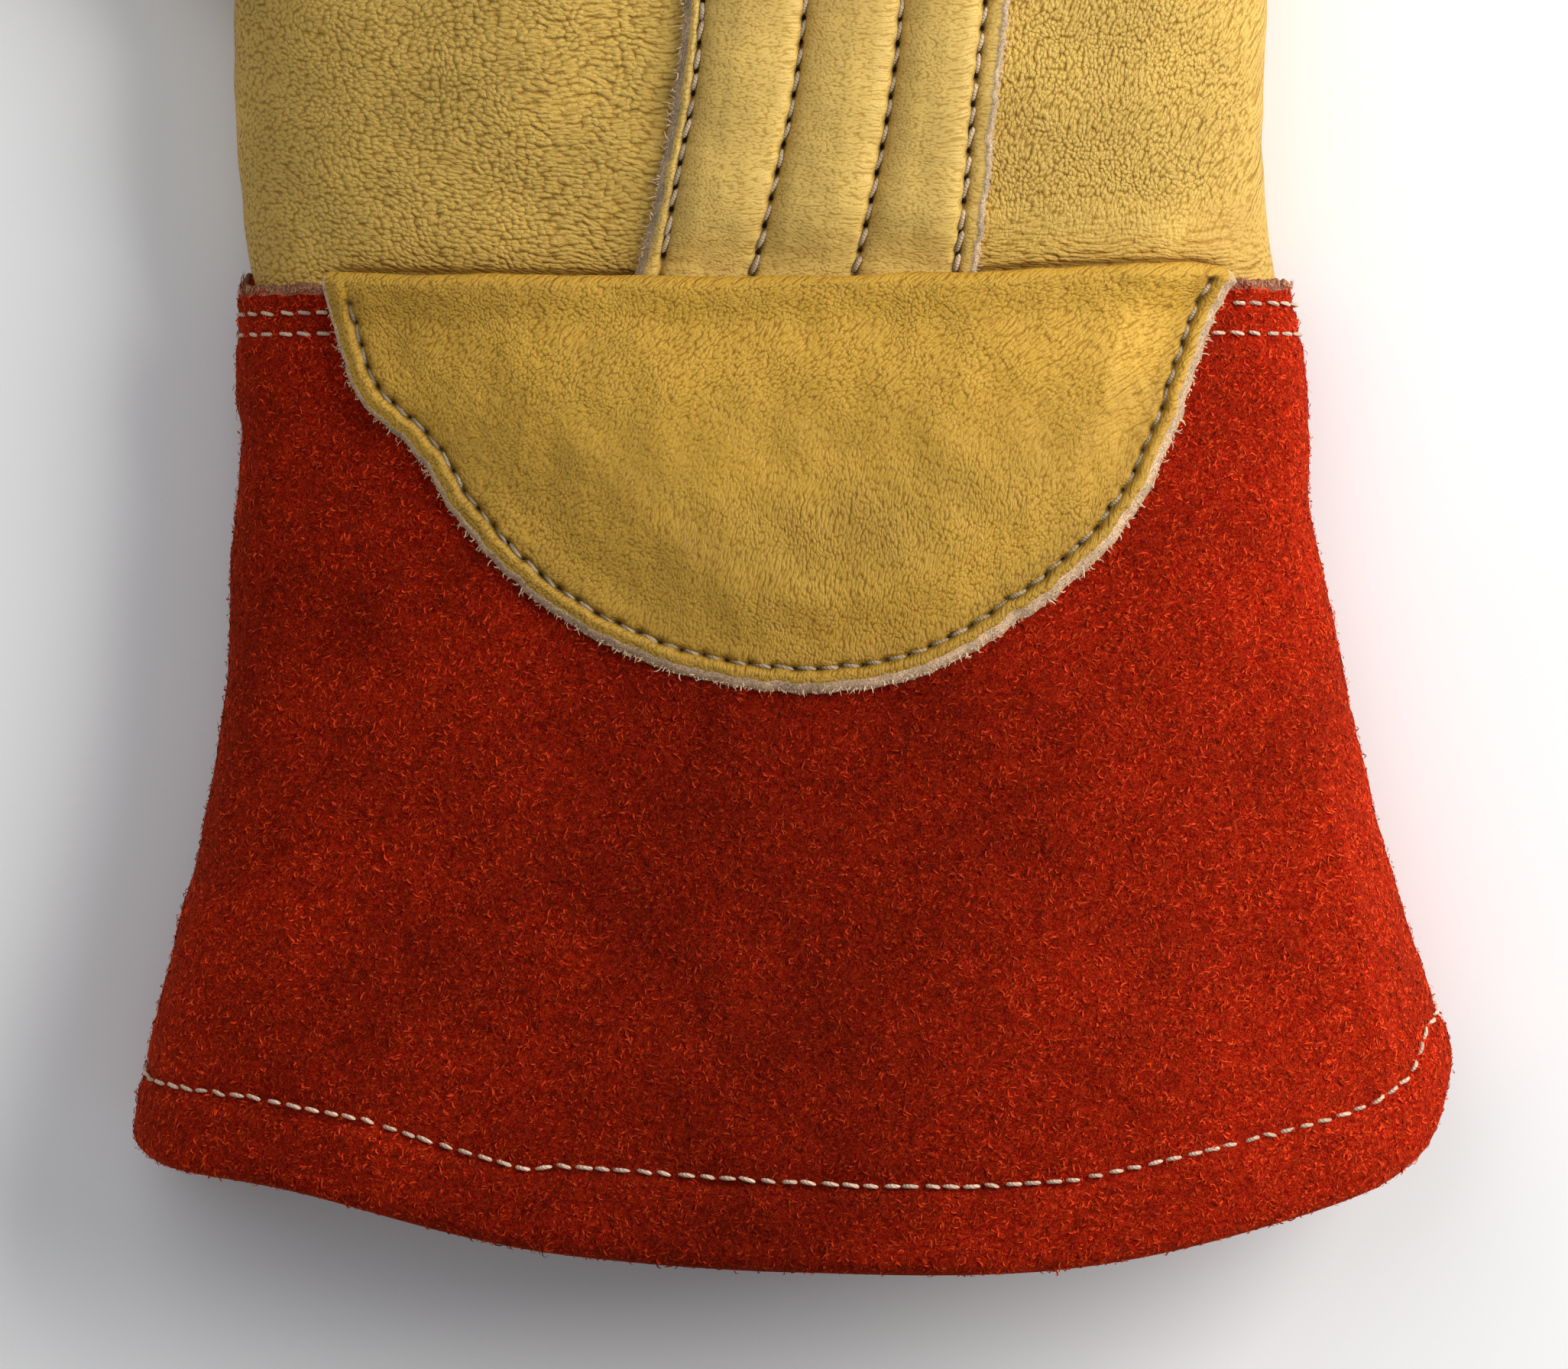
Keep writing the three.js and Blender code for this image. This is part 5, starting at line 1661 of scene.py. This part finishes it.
def stitch_mesh(rows):
    """Points and faces of all stitches. Each has the same faces: four around each gap between its rings,
    and a fan at each end."""
    rings = np.concatenate([row[0] for row in rows])
    tips = np.concatenate([row[1] for row in rows])
    count, places, sides = rings.shape[:3]
    points = np.concatenate([rings.reshape(count, -1, 3), tips], axis=1)
    ring = np.arange(places * sides).reshape(places, sides)
    ring = np.concatenate([ring, ring[:, :1]], axis=1)
    quads = grid_quads(ring)[:, ::-1]
    start, end = places * sides, places * sides + 1
    fan = [np.stack([ring[0, :-1], ring[0, 1:], np.full(sides, start)], axis=1)]
    fan.append(np.stack([ring[-1, 1:], ring[-1, :-1], np.full(sides, end)], axis=1))
    step = (np.arange(count) * points.shape[1])[:, None, None]
    quads = (quads[None] + step).reshape(-1, 4)
    triangles = (np.concatenate(fan)[None] + step).reshape(-1, 3)
    own = np.repeat(np.random.default_rng(7).uniform(0, 1, count), points.shape[1])
    return points.reshape(-1, 3), quads, triangles, own, count, points.shape[1]


def cells(count, each, columns, local):
    """Places on the baking map: a small cell of a square grid for each of a piece's many like shapes."""
    number = np.arange(count)
    corner = np.stack([number % columns, number // columns], axis=1)[:, None, :]
    return ((corner + 0.1 + 0.8 * local[None]) / columns).reshape(count * each, 2)


def crown_path(section_at, x, y, height, lengths=None):
    """A path over a crown at places seen from above."""
    points = laid(section_at, x, y, height)
    normals = laid(section_at, x, y, height + 1) - points
    return Path(points, normals, lengths)


def patch_line_path():
    """The patch's row of stitches, and the lengths along the cut edge that its points stand at."""
    along, edge, inward = patch_boundary(0.4)
    kept = np.minimum(along - 2.3, along[-1] - along) > 0.2
    x, y = (edge + inward * PATCH_LINE)[kept].T
    under = (2 * FOLD_RADIUS - PATCH_WALL) * smooth(1 - (fold_y(x) - FOLD_RADIUS - y) / FOLD_REACH)
    path = crown_path(below_patch, x, y, REST_GAP + PATCH_WALL - 0.6 + under)
    return path, along[kept]


def cuff_path(turns, level):
    """A path round the cuff at a level for each turn."""
    y = level(turns)
    points = cuff_place(turns, y)
    step = 0.3
    around = cuff_place(turns + step, y) - cuff_place(turns - step, y)
    up = cuff_place(turns, y + step) - cuff_place(turns, y - step)
    normals = np.cross(around, up)
    normals /= np.maximum(np.linalg.norm(normals, axis=1, keepdims=True), 1e-9)
    middle = np.array([0, 0, 12.0])
    facing = np.sign(((points - middle) * normals * [1, 0, 1]).sum(axis=1, keepdims=True))
    return Path(points, normals * facing)


def top_row(name):
    def level(turn):
        return read(TOP_ROWS, "turn", np.where(turn > 215, turn - 360, turn))[name]

    return level


def stitch_chart():
    """Where a stitch's points lie in its cell of the baking map: its rings one above the other, and its
    two ends at the bottom and the top."""
    sides, places = STITCH_SIDES, len(STITCH_PLACES)
    ring = np.arange(sides * places)
    rings = np.stack([ring % sides / sides, ring // sides / places], axis=1)
    return np.concatenate([rings, [[0.5, 0.0], [0.5, 0.95]]])


def sewn_rows(name, rows, finish):
    """One piece of many rows of stitches, held above the floor."""
    points, quads, triangles, own, count, each = stitch_mesh(rows)
    points[:, 2] = np.maximum(points[:, 2], FLOOR_GAP)
    chart = cells(count, each, math.ceil(math.sqrt(count)), stitch_chart())
    make_piece(name, points, quads, triangles, (), [finish], None, {"own": own}, chart)


class GLOVE_OT_stitches(bpy.types.Operator):
    """Makes the rows of stitches in the leather and in the cuff, with dark lenses of painted shadow at the
    needle holes of the leather
    """

    bl_idname = "glove.stitches"
    bl_label = "Stitches"

    def execute(self, context):
        look = context.scene.glove_thread
        radius = look.thickness / MM / 2
        rng = np.random.default_rng(3)
        brown, pierced = [], []

        def sew(path, pitch, length, thickness, *slants):
            rings, tips, holes = stitches(path, pitch, length, radius * thickness, rng, *slants)
            brown.append((rings, tips))
            pierced.append((path, holes))

        y = np.linspace(STRIP["y"][0] + 0.4, CROSS_LINE + 0.3, 300)
        for k, pitch in enumerate(STRIP_PITCHES):
            x = strip_lines(y)[f"line{k + 1}"]
            path = crown_path(hand_section, x, y, np.full(len(y), REST_GAP + STRIP_WALL - 0.06), y)
            first = math.ceil(y[0] / pitch) * pitch
            sew(path, pitch, 2.4, 1.14, first, 8 if k else 10, 0.55)
        row = strip_lines(np.array([CROSS_LINE]))
        x = np.linspace(row["line1"][0] + 0.4, row["line4"][0] - 0.4, 120)
        height = np.full(120, REST_GAP + STRIP_WALL - 0.3)
        sew(crown_path(hand_section, x, np.full(120, CROSS_LINE), height), 3.1, 2.2, 1.0)
        sew(patch_line_path()[0], PATCH_PITCH, 2.25, 1.1, 0.0, 7, 0.6)
        # 1.45: the strip's threads painted lighter than the patch's, as painted light
        waxed = thread("leather thread", (*look.brown, 1), 1.45)
        sewn_rows("leather_stitches", brown, waxed)
        # Dark lenses of painted shadow at the needle holes
        needle_hole_shadows(pierced)
        front, back = np.linspace(202, -22, 900), np.linspace(204, 336, 500)
        # Each row: turns, level, pitch, length, thickness, tilt and how deep the ends dive
        rows = (
            (front, hem_row, 2.66, 1.95, 0.92, 4, 0.8),
            (back, hem_row, 2.66, 1.95, 1.1, 4, 0.6),
            (front, top_row("upper"), 2.75, 1.85, 0.88, 6, 0.8),
            (back, top_row("upper"), 2.75, 1.85, 0.88, 6, 0.8),
            (front, top_row("lower"), 2.75, 1.85, 0.88, 6, 0.8),
            (back, top_row("lower"), 2.75, 1.85, 0.88, 6, 0.8),
        )
        pale = [
            stitches(cuff_path(turns, level), pitch, length, radius * thickness, rng, 0, tilt, 0.5, dive)[:2]
            for turns, level, pitch, length, thickness, tilt, dive in rows
        ]
        sewn_rows("cuff_stitches", pale, thread("cuff thread", (*look.pale, 1)))
        return {"FINISHED"}


def needle_hole_shadows(rows):
    """Painted shadow at the needle holes: dark lenses of eight points round a longish circle, one above and
    one below.
    """
    around = np.linspace(0, math.tau, 8, endpoint=False)[None, :, None]
    made = []
    for path, holes in rows:
        inside = (holes > path.lengths[0] + 0.2) & (holes < path.length - 0.2)
        place, ahead, across, normal = path.at(holes[inside])
        centre = place - normal * 0.22
        circle = centre[:, None] + 0.36 * np.cos(around) * ahead[:, None]
        circle = circle + 0.27 * np.sin(around) * across[:, None]
        above, below = centre + normal * 0.07, centre - normal * 0.25
        made.append(np.concatenate([circle, above[:, None], below[:, None]], axis=1))
    points = np.concatenate(made)
    edge = np.arange(8)
    ahead = (edge + 1) % 8
    faces = np.concatenate(
        [np.stack([ahead, edge, np.full(8, 8)], axis=1), np.stack([edge, ahead, np.full(8, 9)], axis=1)]
    )
    step = (np.arange(len(points)) * 10)[:, None, None]
    local = np.stack([0.5 + 0.4 * np.cos(around[0, :, 0]), 0.5 + 0.4 * np.sin(around[0, :, 0])], axis=1)
    local = np.concatenate([local, [[0.5, 0.5], [0.5, 0.45]]])
    chart = cells(len(points), 10, math.ceil(math.sqrt(len(points))), local)
    triangles = (faces[None] + step).reshape(-1, 3)
    make_piece(
        "needle_hole_shadows", points.reshape(-1, 3), np.zeros((0, 4), int), triangles, (),
        [hole_shadow_finish()], None, None, chart,
    )


# Fibres


def scatter(points, quads, count, rng, weight=None):
    """Random places on a sheet, as many on each face as its area asks for: its corners' mean with
    random shares, and the face's normal."""
    a, b, c, d = (points[quads[:, k]] for k in range(4))
    area = np.linalg.norm(np.cross(c - a, d - b), axis=1) / 2
    if weight is not None:
        area = area * weight
    face = rng.choice(len(quads), count, p=area / area.sum())
    u, v = rng.uniform(0, 1, (2, count, 1))
    place = (a[face] * (1 - u) + b[face] * u) * (1 - v) + (d[face] * (1 - u) + c[face] * u) * v
    normal = np.cross((b - a)[face], (d - a)[face])
    return place, normal / np.maximum(np.linalg.norm(normal, axis=1, keepdims=True), 1e-12)


def ribbons(place, heading, side, normal, rise, curl, length, width, rng):
    """Thin curled fibres of three faces each. A fibre starts along its heading, turns by curl towards its
    side at each joint, climbs by rise and droops again, and narrows to its tip."""
    count = len(place)
    points = [place]
    turn = -0.6 * curl
    for climb in (rise, 0.45 * rise - 0.1, -0.5 * rise - 0.15):
        step = heading * np.cos(turn) + side * np.sin(turn) + normal * climb
        step /= np.linalg.norm(step, axis=1, keepdims=True)
        points.append(points[-1] + step * length[:, None] / 3)
        turn = turn + curl
    roll = rng.uniform(-0.6, 0.6, (count, 1))
    turn = -0.6 * curl
    corners = []
    for place, narrow in zip(points, (0.8, 1.0, 0.9, 0.35)):
        across = side * np.cos(turn) - heading * np.sin(turn)
        half = (width * narrow / 2)[:, None] * (across * np.cos(roll) + normal * np.sin(roll))
        corners += [place - half, place + half]
        turn = turn + 0.75 * curl
    face = np.array([[0, 1, 3, 2], [2, 3, 5, 4], [4, 5, 7, 6]])[:, ::-1]
    quads = (face[None] + (np.arange(count) * 8)[:, None, None]).reshape(-1, 4)
    marks = {
        "along": np.tile([0.0, 0.0, 0.4, 0.4, 0.75, 0.75, 1.0, 1.0], count),
        "own": np.repeat(rng.uniform(0, 1, count), 8),
    }
    level = np.repeat([0.0, 1 / 3, 2 / 3, 1.0], 2)
    local = np.stack([np.tile([0.2, 0.8], 4), level], axis=1)
    points = np.stack(corners, axis=1).reshape(-1, 3)
    return points, quads, marks, cells(count, 8, math.ceil(math.sqrt(count)), local)


def nap(face, count, length, seed):
    """The nap of one face of the cuff. Fibres lie along a slowly turning flow with much disorder, and a
    few stand up. None grow under the patch."""
    rng = np.random.default_rng(seed)
    outer, _, quads, _ = cuff_wall(face)
    centre = outer[quads].mean(axis=1)
    bare = np.ones(len(quads))
    if face == "front":
        x, y, z = centre.T
        turn = np.degrees(np.arctan2(y - PATCH_CENTRE[1], x - PATCH_CENTRE[0])) % 360
        radius = read(PATCH_ARC, "turn", turn)["radius"]
        reach = np.hypot(x - PATCH_CENTRE[0], y - PATCH_CENTRE[1])
        bare[(reach < radius - 1.5) & (z > 14)] = 0
    place, normal = scatter(outer, quads, count, rng, bare)
    x, y = place[:, 0], place[:, 1]
    flow = math.pi * (0.9 * ripple(x, y, 26, seed + 1) + 0.55 * ripple(x, y, 6, seed + 2)) - 1.2
    heading = flow + rng.normal(0, 0.85, count)
    level = np.stack([np.cos(heading), np.sin(heading), 0 * heading], axis=1)
    level -= normal * (level * normal).sum(axis=1, keepdims=True)
    level /= np.maximum(np.linalg.norm(level, axis=1, keepdims=True), 1e-6)
    side = np.cross(normal, level)
    stands = rng.uniform(0, 1, count) < 0.12
    rise = np.where(stands, rng.uniform(0.7, 1.6, count), rng.uniform(0.06, 0.36, count))[:, None]
    curl = rng.normal(0, 0.95, (count, 1))
    long = length * rng.uniform(0.65, 1.35, count)
    wide = rng.uniform(0.14, 0.26, count)
    return ribbons(place - normal * 0.06, level, side, normal, rise, curl, long, wide, rng)


class GLOVE_OT_nap(bpy.types.Operator):
    """Makes the nap of the suede"""

    bl_idname = "glove.nap"
    bl_label = "Nap"

    def execute(self, context):
        look = context.scene.glove_suede
        finishes = [nap_fibre("nap fibre", (*look.deep, 1), (*look.tip, 1))]
        layers = (
            ("nap_front_long", "front", look.front_fibres, 1.15, 71),
            ("nap_front_short", "front", look.front_fibres, 0.8, 76),
            ("nap_back", "back", look.back_fibres, 1.0, 81),
        )
        for name, face, count, longer, seed in layers:
            if count:
                points, quads, marks, chart = nap(face, count, look.length / MM * longer, seed)
                points[:, 2] = np.maximum(points[:, 2], FLOOR_GAP)
                make_piece(name, points, quads, None, (), finishes, None, marks, chart)
        return {"FINISHED"}


def fringe(path, outwards, per_mm, short, long, rng, rise=0.2):
    """Loose fibres along a path: each starts near it and heads outwards with much disorder."""
    count = int(path.length * per_mm)
    place, ahead, across, normal = path.at(rng.uniform(0, path.length, count))
    turned = rng.normal(0, 0.9, (count, 1))
    heading = across * outwards * np.cos(turned) + ahead * np.sin(turned)
    side = np.cross(normal, heading)
    inwards = rng.uniform(0, 0.7, (count, 1))
    above = rng.uniform(-0.3, rise, (count, 1))
    place = place - across * outwards * inwards + normal * above
    climb = rng.uniform(-0.2, 0.5, (count, 1))
    curl = rng.normal(0, 0.6, (count, 1))
    length = short + (long - short) * rng.uniform(0, 1, count) ** 2.2
    return place, heading, side, normal, climb, curl, length, rng.uniform(0.09, 0.18, count)


class GLOVE_OT_edge_fibres(bpy.types.Operator):
    """Makes the loose fibres of the strip's, the patch's and the cuff's cut edges"""

    bl_idname = "glove.edge_fibres"
    bl_label = "Edge fibres"

    def execute(self, context):
        cut = context.scene.glove_leather.cut
        rng = np.random.default_rng(91)
        y = np.linspace(STRIP["y"][0] + 0.3, STRIP_END - 0.3, 300)
        lines = strip_lines(y)
        half = np.full(len(y), REST_GAP + 0.55)
        made = [
            fringe(crown_path(hand_section, lines["left_edge"], y, half), -1, 7, 0.3, 1.5, rng),
            fringe(crown_path(hand_section, lines["right_edge"], y, half), 1, 8, 0.25, 0.9, rng),
        ]
        _, edge, _ = patch_boundary(0.4)
        height = np.full(len(edge), REST_GAP + 0.5)
        made.append(fringe(crown_path(below_patch, edge[:, 0], edge[:, 1], height), 1, 6, 0.25, 1.3, rng))
        save_fringe("leather_edge_fibres", made, shaded(cut, LEATHER_FIBRES), rng)
        turns = np.linspace(203, -23, 900)
        made = [fringe(cuff_path(turns, cuff_top), -1, 7, 0.5, 1.4, rng, 0.1)]
        turns = np.linspace(204, 336, 500)
        made.append(fringe(cuff_path(turns, cuff_top), 1, 5, 0.5, 1.2, rng, 0.1))
        save_fringe("cuff_edge_fibres", made, shaded(cut, CUFF_FIBRES), rng)
        return {"FINISHED"}


def save_fringe(name, parts, colour, rng):
    """One piece of the fibres of several paths."""
    joined = [np.concatenate([part[k] for part in parts]) for k in range(8)]
    points, quads, marks, chart = ribbons(*joined, rng)
    points[:, 2] = np.maximum(points[:, 2], FLOOR_GAP)
    finish = pale_fibre(name.replace("_", " "), colour)
    make_piece(name, points, quads, None, (), [finish], None, marks, chart)


# Stage

# In metres, but for the sensor
FLOOR_HALF = 3
FLOOR_LEVEL = -0.0003  # just under the glove
AIM = (0, -0.04, 0.02)  # what the lamps point at
SUBJECT_HEIGHT = 0.02  # level at which the picture's width is measured
PICTURE_WIDTH = 0.2052
CAMERA_PLACE = (0.0018, -0.0471)
SENSOR = 36.0  # width in millimetres
FILL_SHARE = 0.25  # power of the fill light, as a share of the key light's


class GLOVE_OT_stage(bpy.types.Operator):
    """Makes the floor, the soft light and the camera straight above"""

    bl_idname = "glove.stage"
    bl_label = "Stage"

    def execute(self, context):
        look = context.scene.glove_stage
        floor = bpy.data.meshes.new("floor")
        signs = ((-1, -1), (1, -1), (1, 1), (-1, 1))
        corners = [(x * FLOOR_HALF, y * FLOOR_HALF, FLOOR_LEVEL) for x, y in signs]
        floor.from_pydata(corners, [], [(0, 1, 2, 3)])
        floor.materials.append(studio_floor((*look.floor, 1)))
        ground = bpy.data.objects.new("floor", floor)
        context.scene.collection.objects.link(ground)
        lamps = (
            ("key_light", (0.85, 0.30, 0.50), 0.75, look.key, (1.0, 0.98, 0.95)),
            ("fill_light", (-0.5, 0.6, 1.0), 1.2, look.key * FILL_SHARE, (0.97, 0.98, 1.0)),
        )
        for name, place, size, power, colour in lamps:
            lamp = bpy.data.lights.new(name, "AREA")
            lamp.size, lamp.energy, lamp.color = size, power, colour
            light = bpy.data.objects.new(name, lamp)
            light.location = place
            aim = mathutils.Vector(AIM) - light.location
            light.rotation_euler = aim.to_track_quat("-Z", "Y").to_euler()
            context.scene.collection.objects.link(light)
        world = bpy.data.worlds.new("studio")
        world.use_nodes = True
        sky = world.node_tree.nodes["Background"].inputs
        sky["Color"].default_value = (0.94, 0.96, 1.0, 1)
        sky["Strength"].default_value = 0.28
        context.scene.world = world
        context.scene.view_settings.view_transform = "Standard"
        lens = bpy.data.cameras.new("camera")
        lens.sensor_width = SENSOR
        lens.lens = SENSOR * (look.height - SUBJECT_HEIGHT) / PICTURE_WIDTH
        lens.clip_start, lens.clip_end = 0.1, 20
        camera = bpy.data.objects.new("camera", lens)
        camera.location = (*CAMERA_PLACE, look.height)
        context.scene.collection.objects.link(camera)
        context.scene.camera = camera
        return {"FINISHED"}


# Panel


class GLOVE_PT_panel(bpy.types.Panel):
    """Lists the glove's pieces and their settings"""

    bl_idname = "GLOVE_PT_panel"
    bl_label = "Leather Protector Glove"
    bl_space_type = "VIEW_3D"
    bl_region_type = "UI"
    bl_category = "Glove"

    def draw(self, context):
        for title, settings, pieces in LAYOUT:
            box = self.layout.box()
            box.label(text=title)
            group = getattr(context.scene, settings)
            for name in group.__annotations__:
                box.prop(group, name)
            for piece in pieces:
                box.operator(piece.bl_idname)


LAYOUT = (
    ("Grain leather", "glove_leather", (GLOVE_OT_hand, GLOVE_OT_thumb, GLOVE_OT_strip, GLOVE_OT_patch)),
    ("Suede", "glove_suede", (GLOVE_OT_cuff, GLOVE_OT_nap)),
    ("Thread", "glove_thread", (GLOVE_OT_stitches, GLOVE_OT_edge_fibres)),
    ("Stage", "glove_stage", (GLOVE_OT_stage,)),
)
SETTINGS = {
    "glove_leather": GloveLeather,
    "glove_suede": GloveSuede,
    "glove_thread": GloveThread,
    "glove_stage": GloveStage,
}
OPERATORS = [piece for _, _, pieces in LAYOUT for piece in pieces]


def register():
    for group in (*SETTINGS.values(), *OPERATORS, GLOVE_PT_panel):
        bpy.utils.register_class(group)
    for name, group in SETTINGS.items():
        setattr(bpy.types.Scene, name, bpy.props.PointerProperty(type=group))


def unregister():
    for name in SETTINGS:
        delattr(bpy.types.Scene, name)
    for group in (GLOVE_PT_panel, *reversed(OPERATORS), *reversed(SETTINGS.values())):
        bpy.utils.unregister_class(group)


def main():
    """Makes every piece in order."""
    register()
    for piece in OPERATORS:
        category, name = piece.bl_idname.split(".")
        getattr(getattr(bpy.ops, category), name)()


if __name__ == "__main__":
    main()
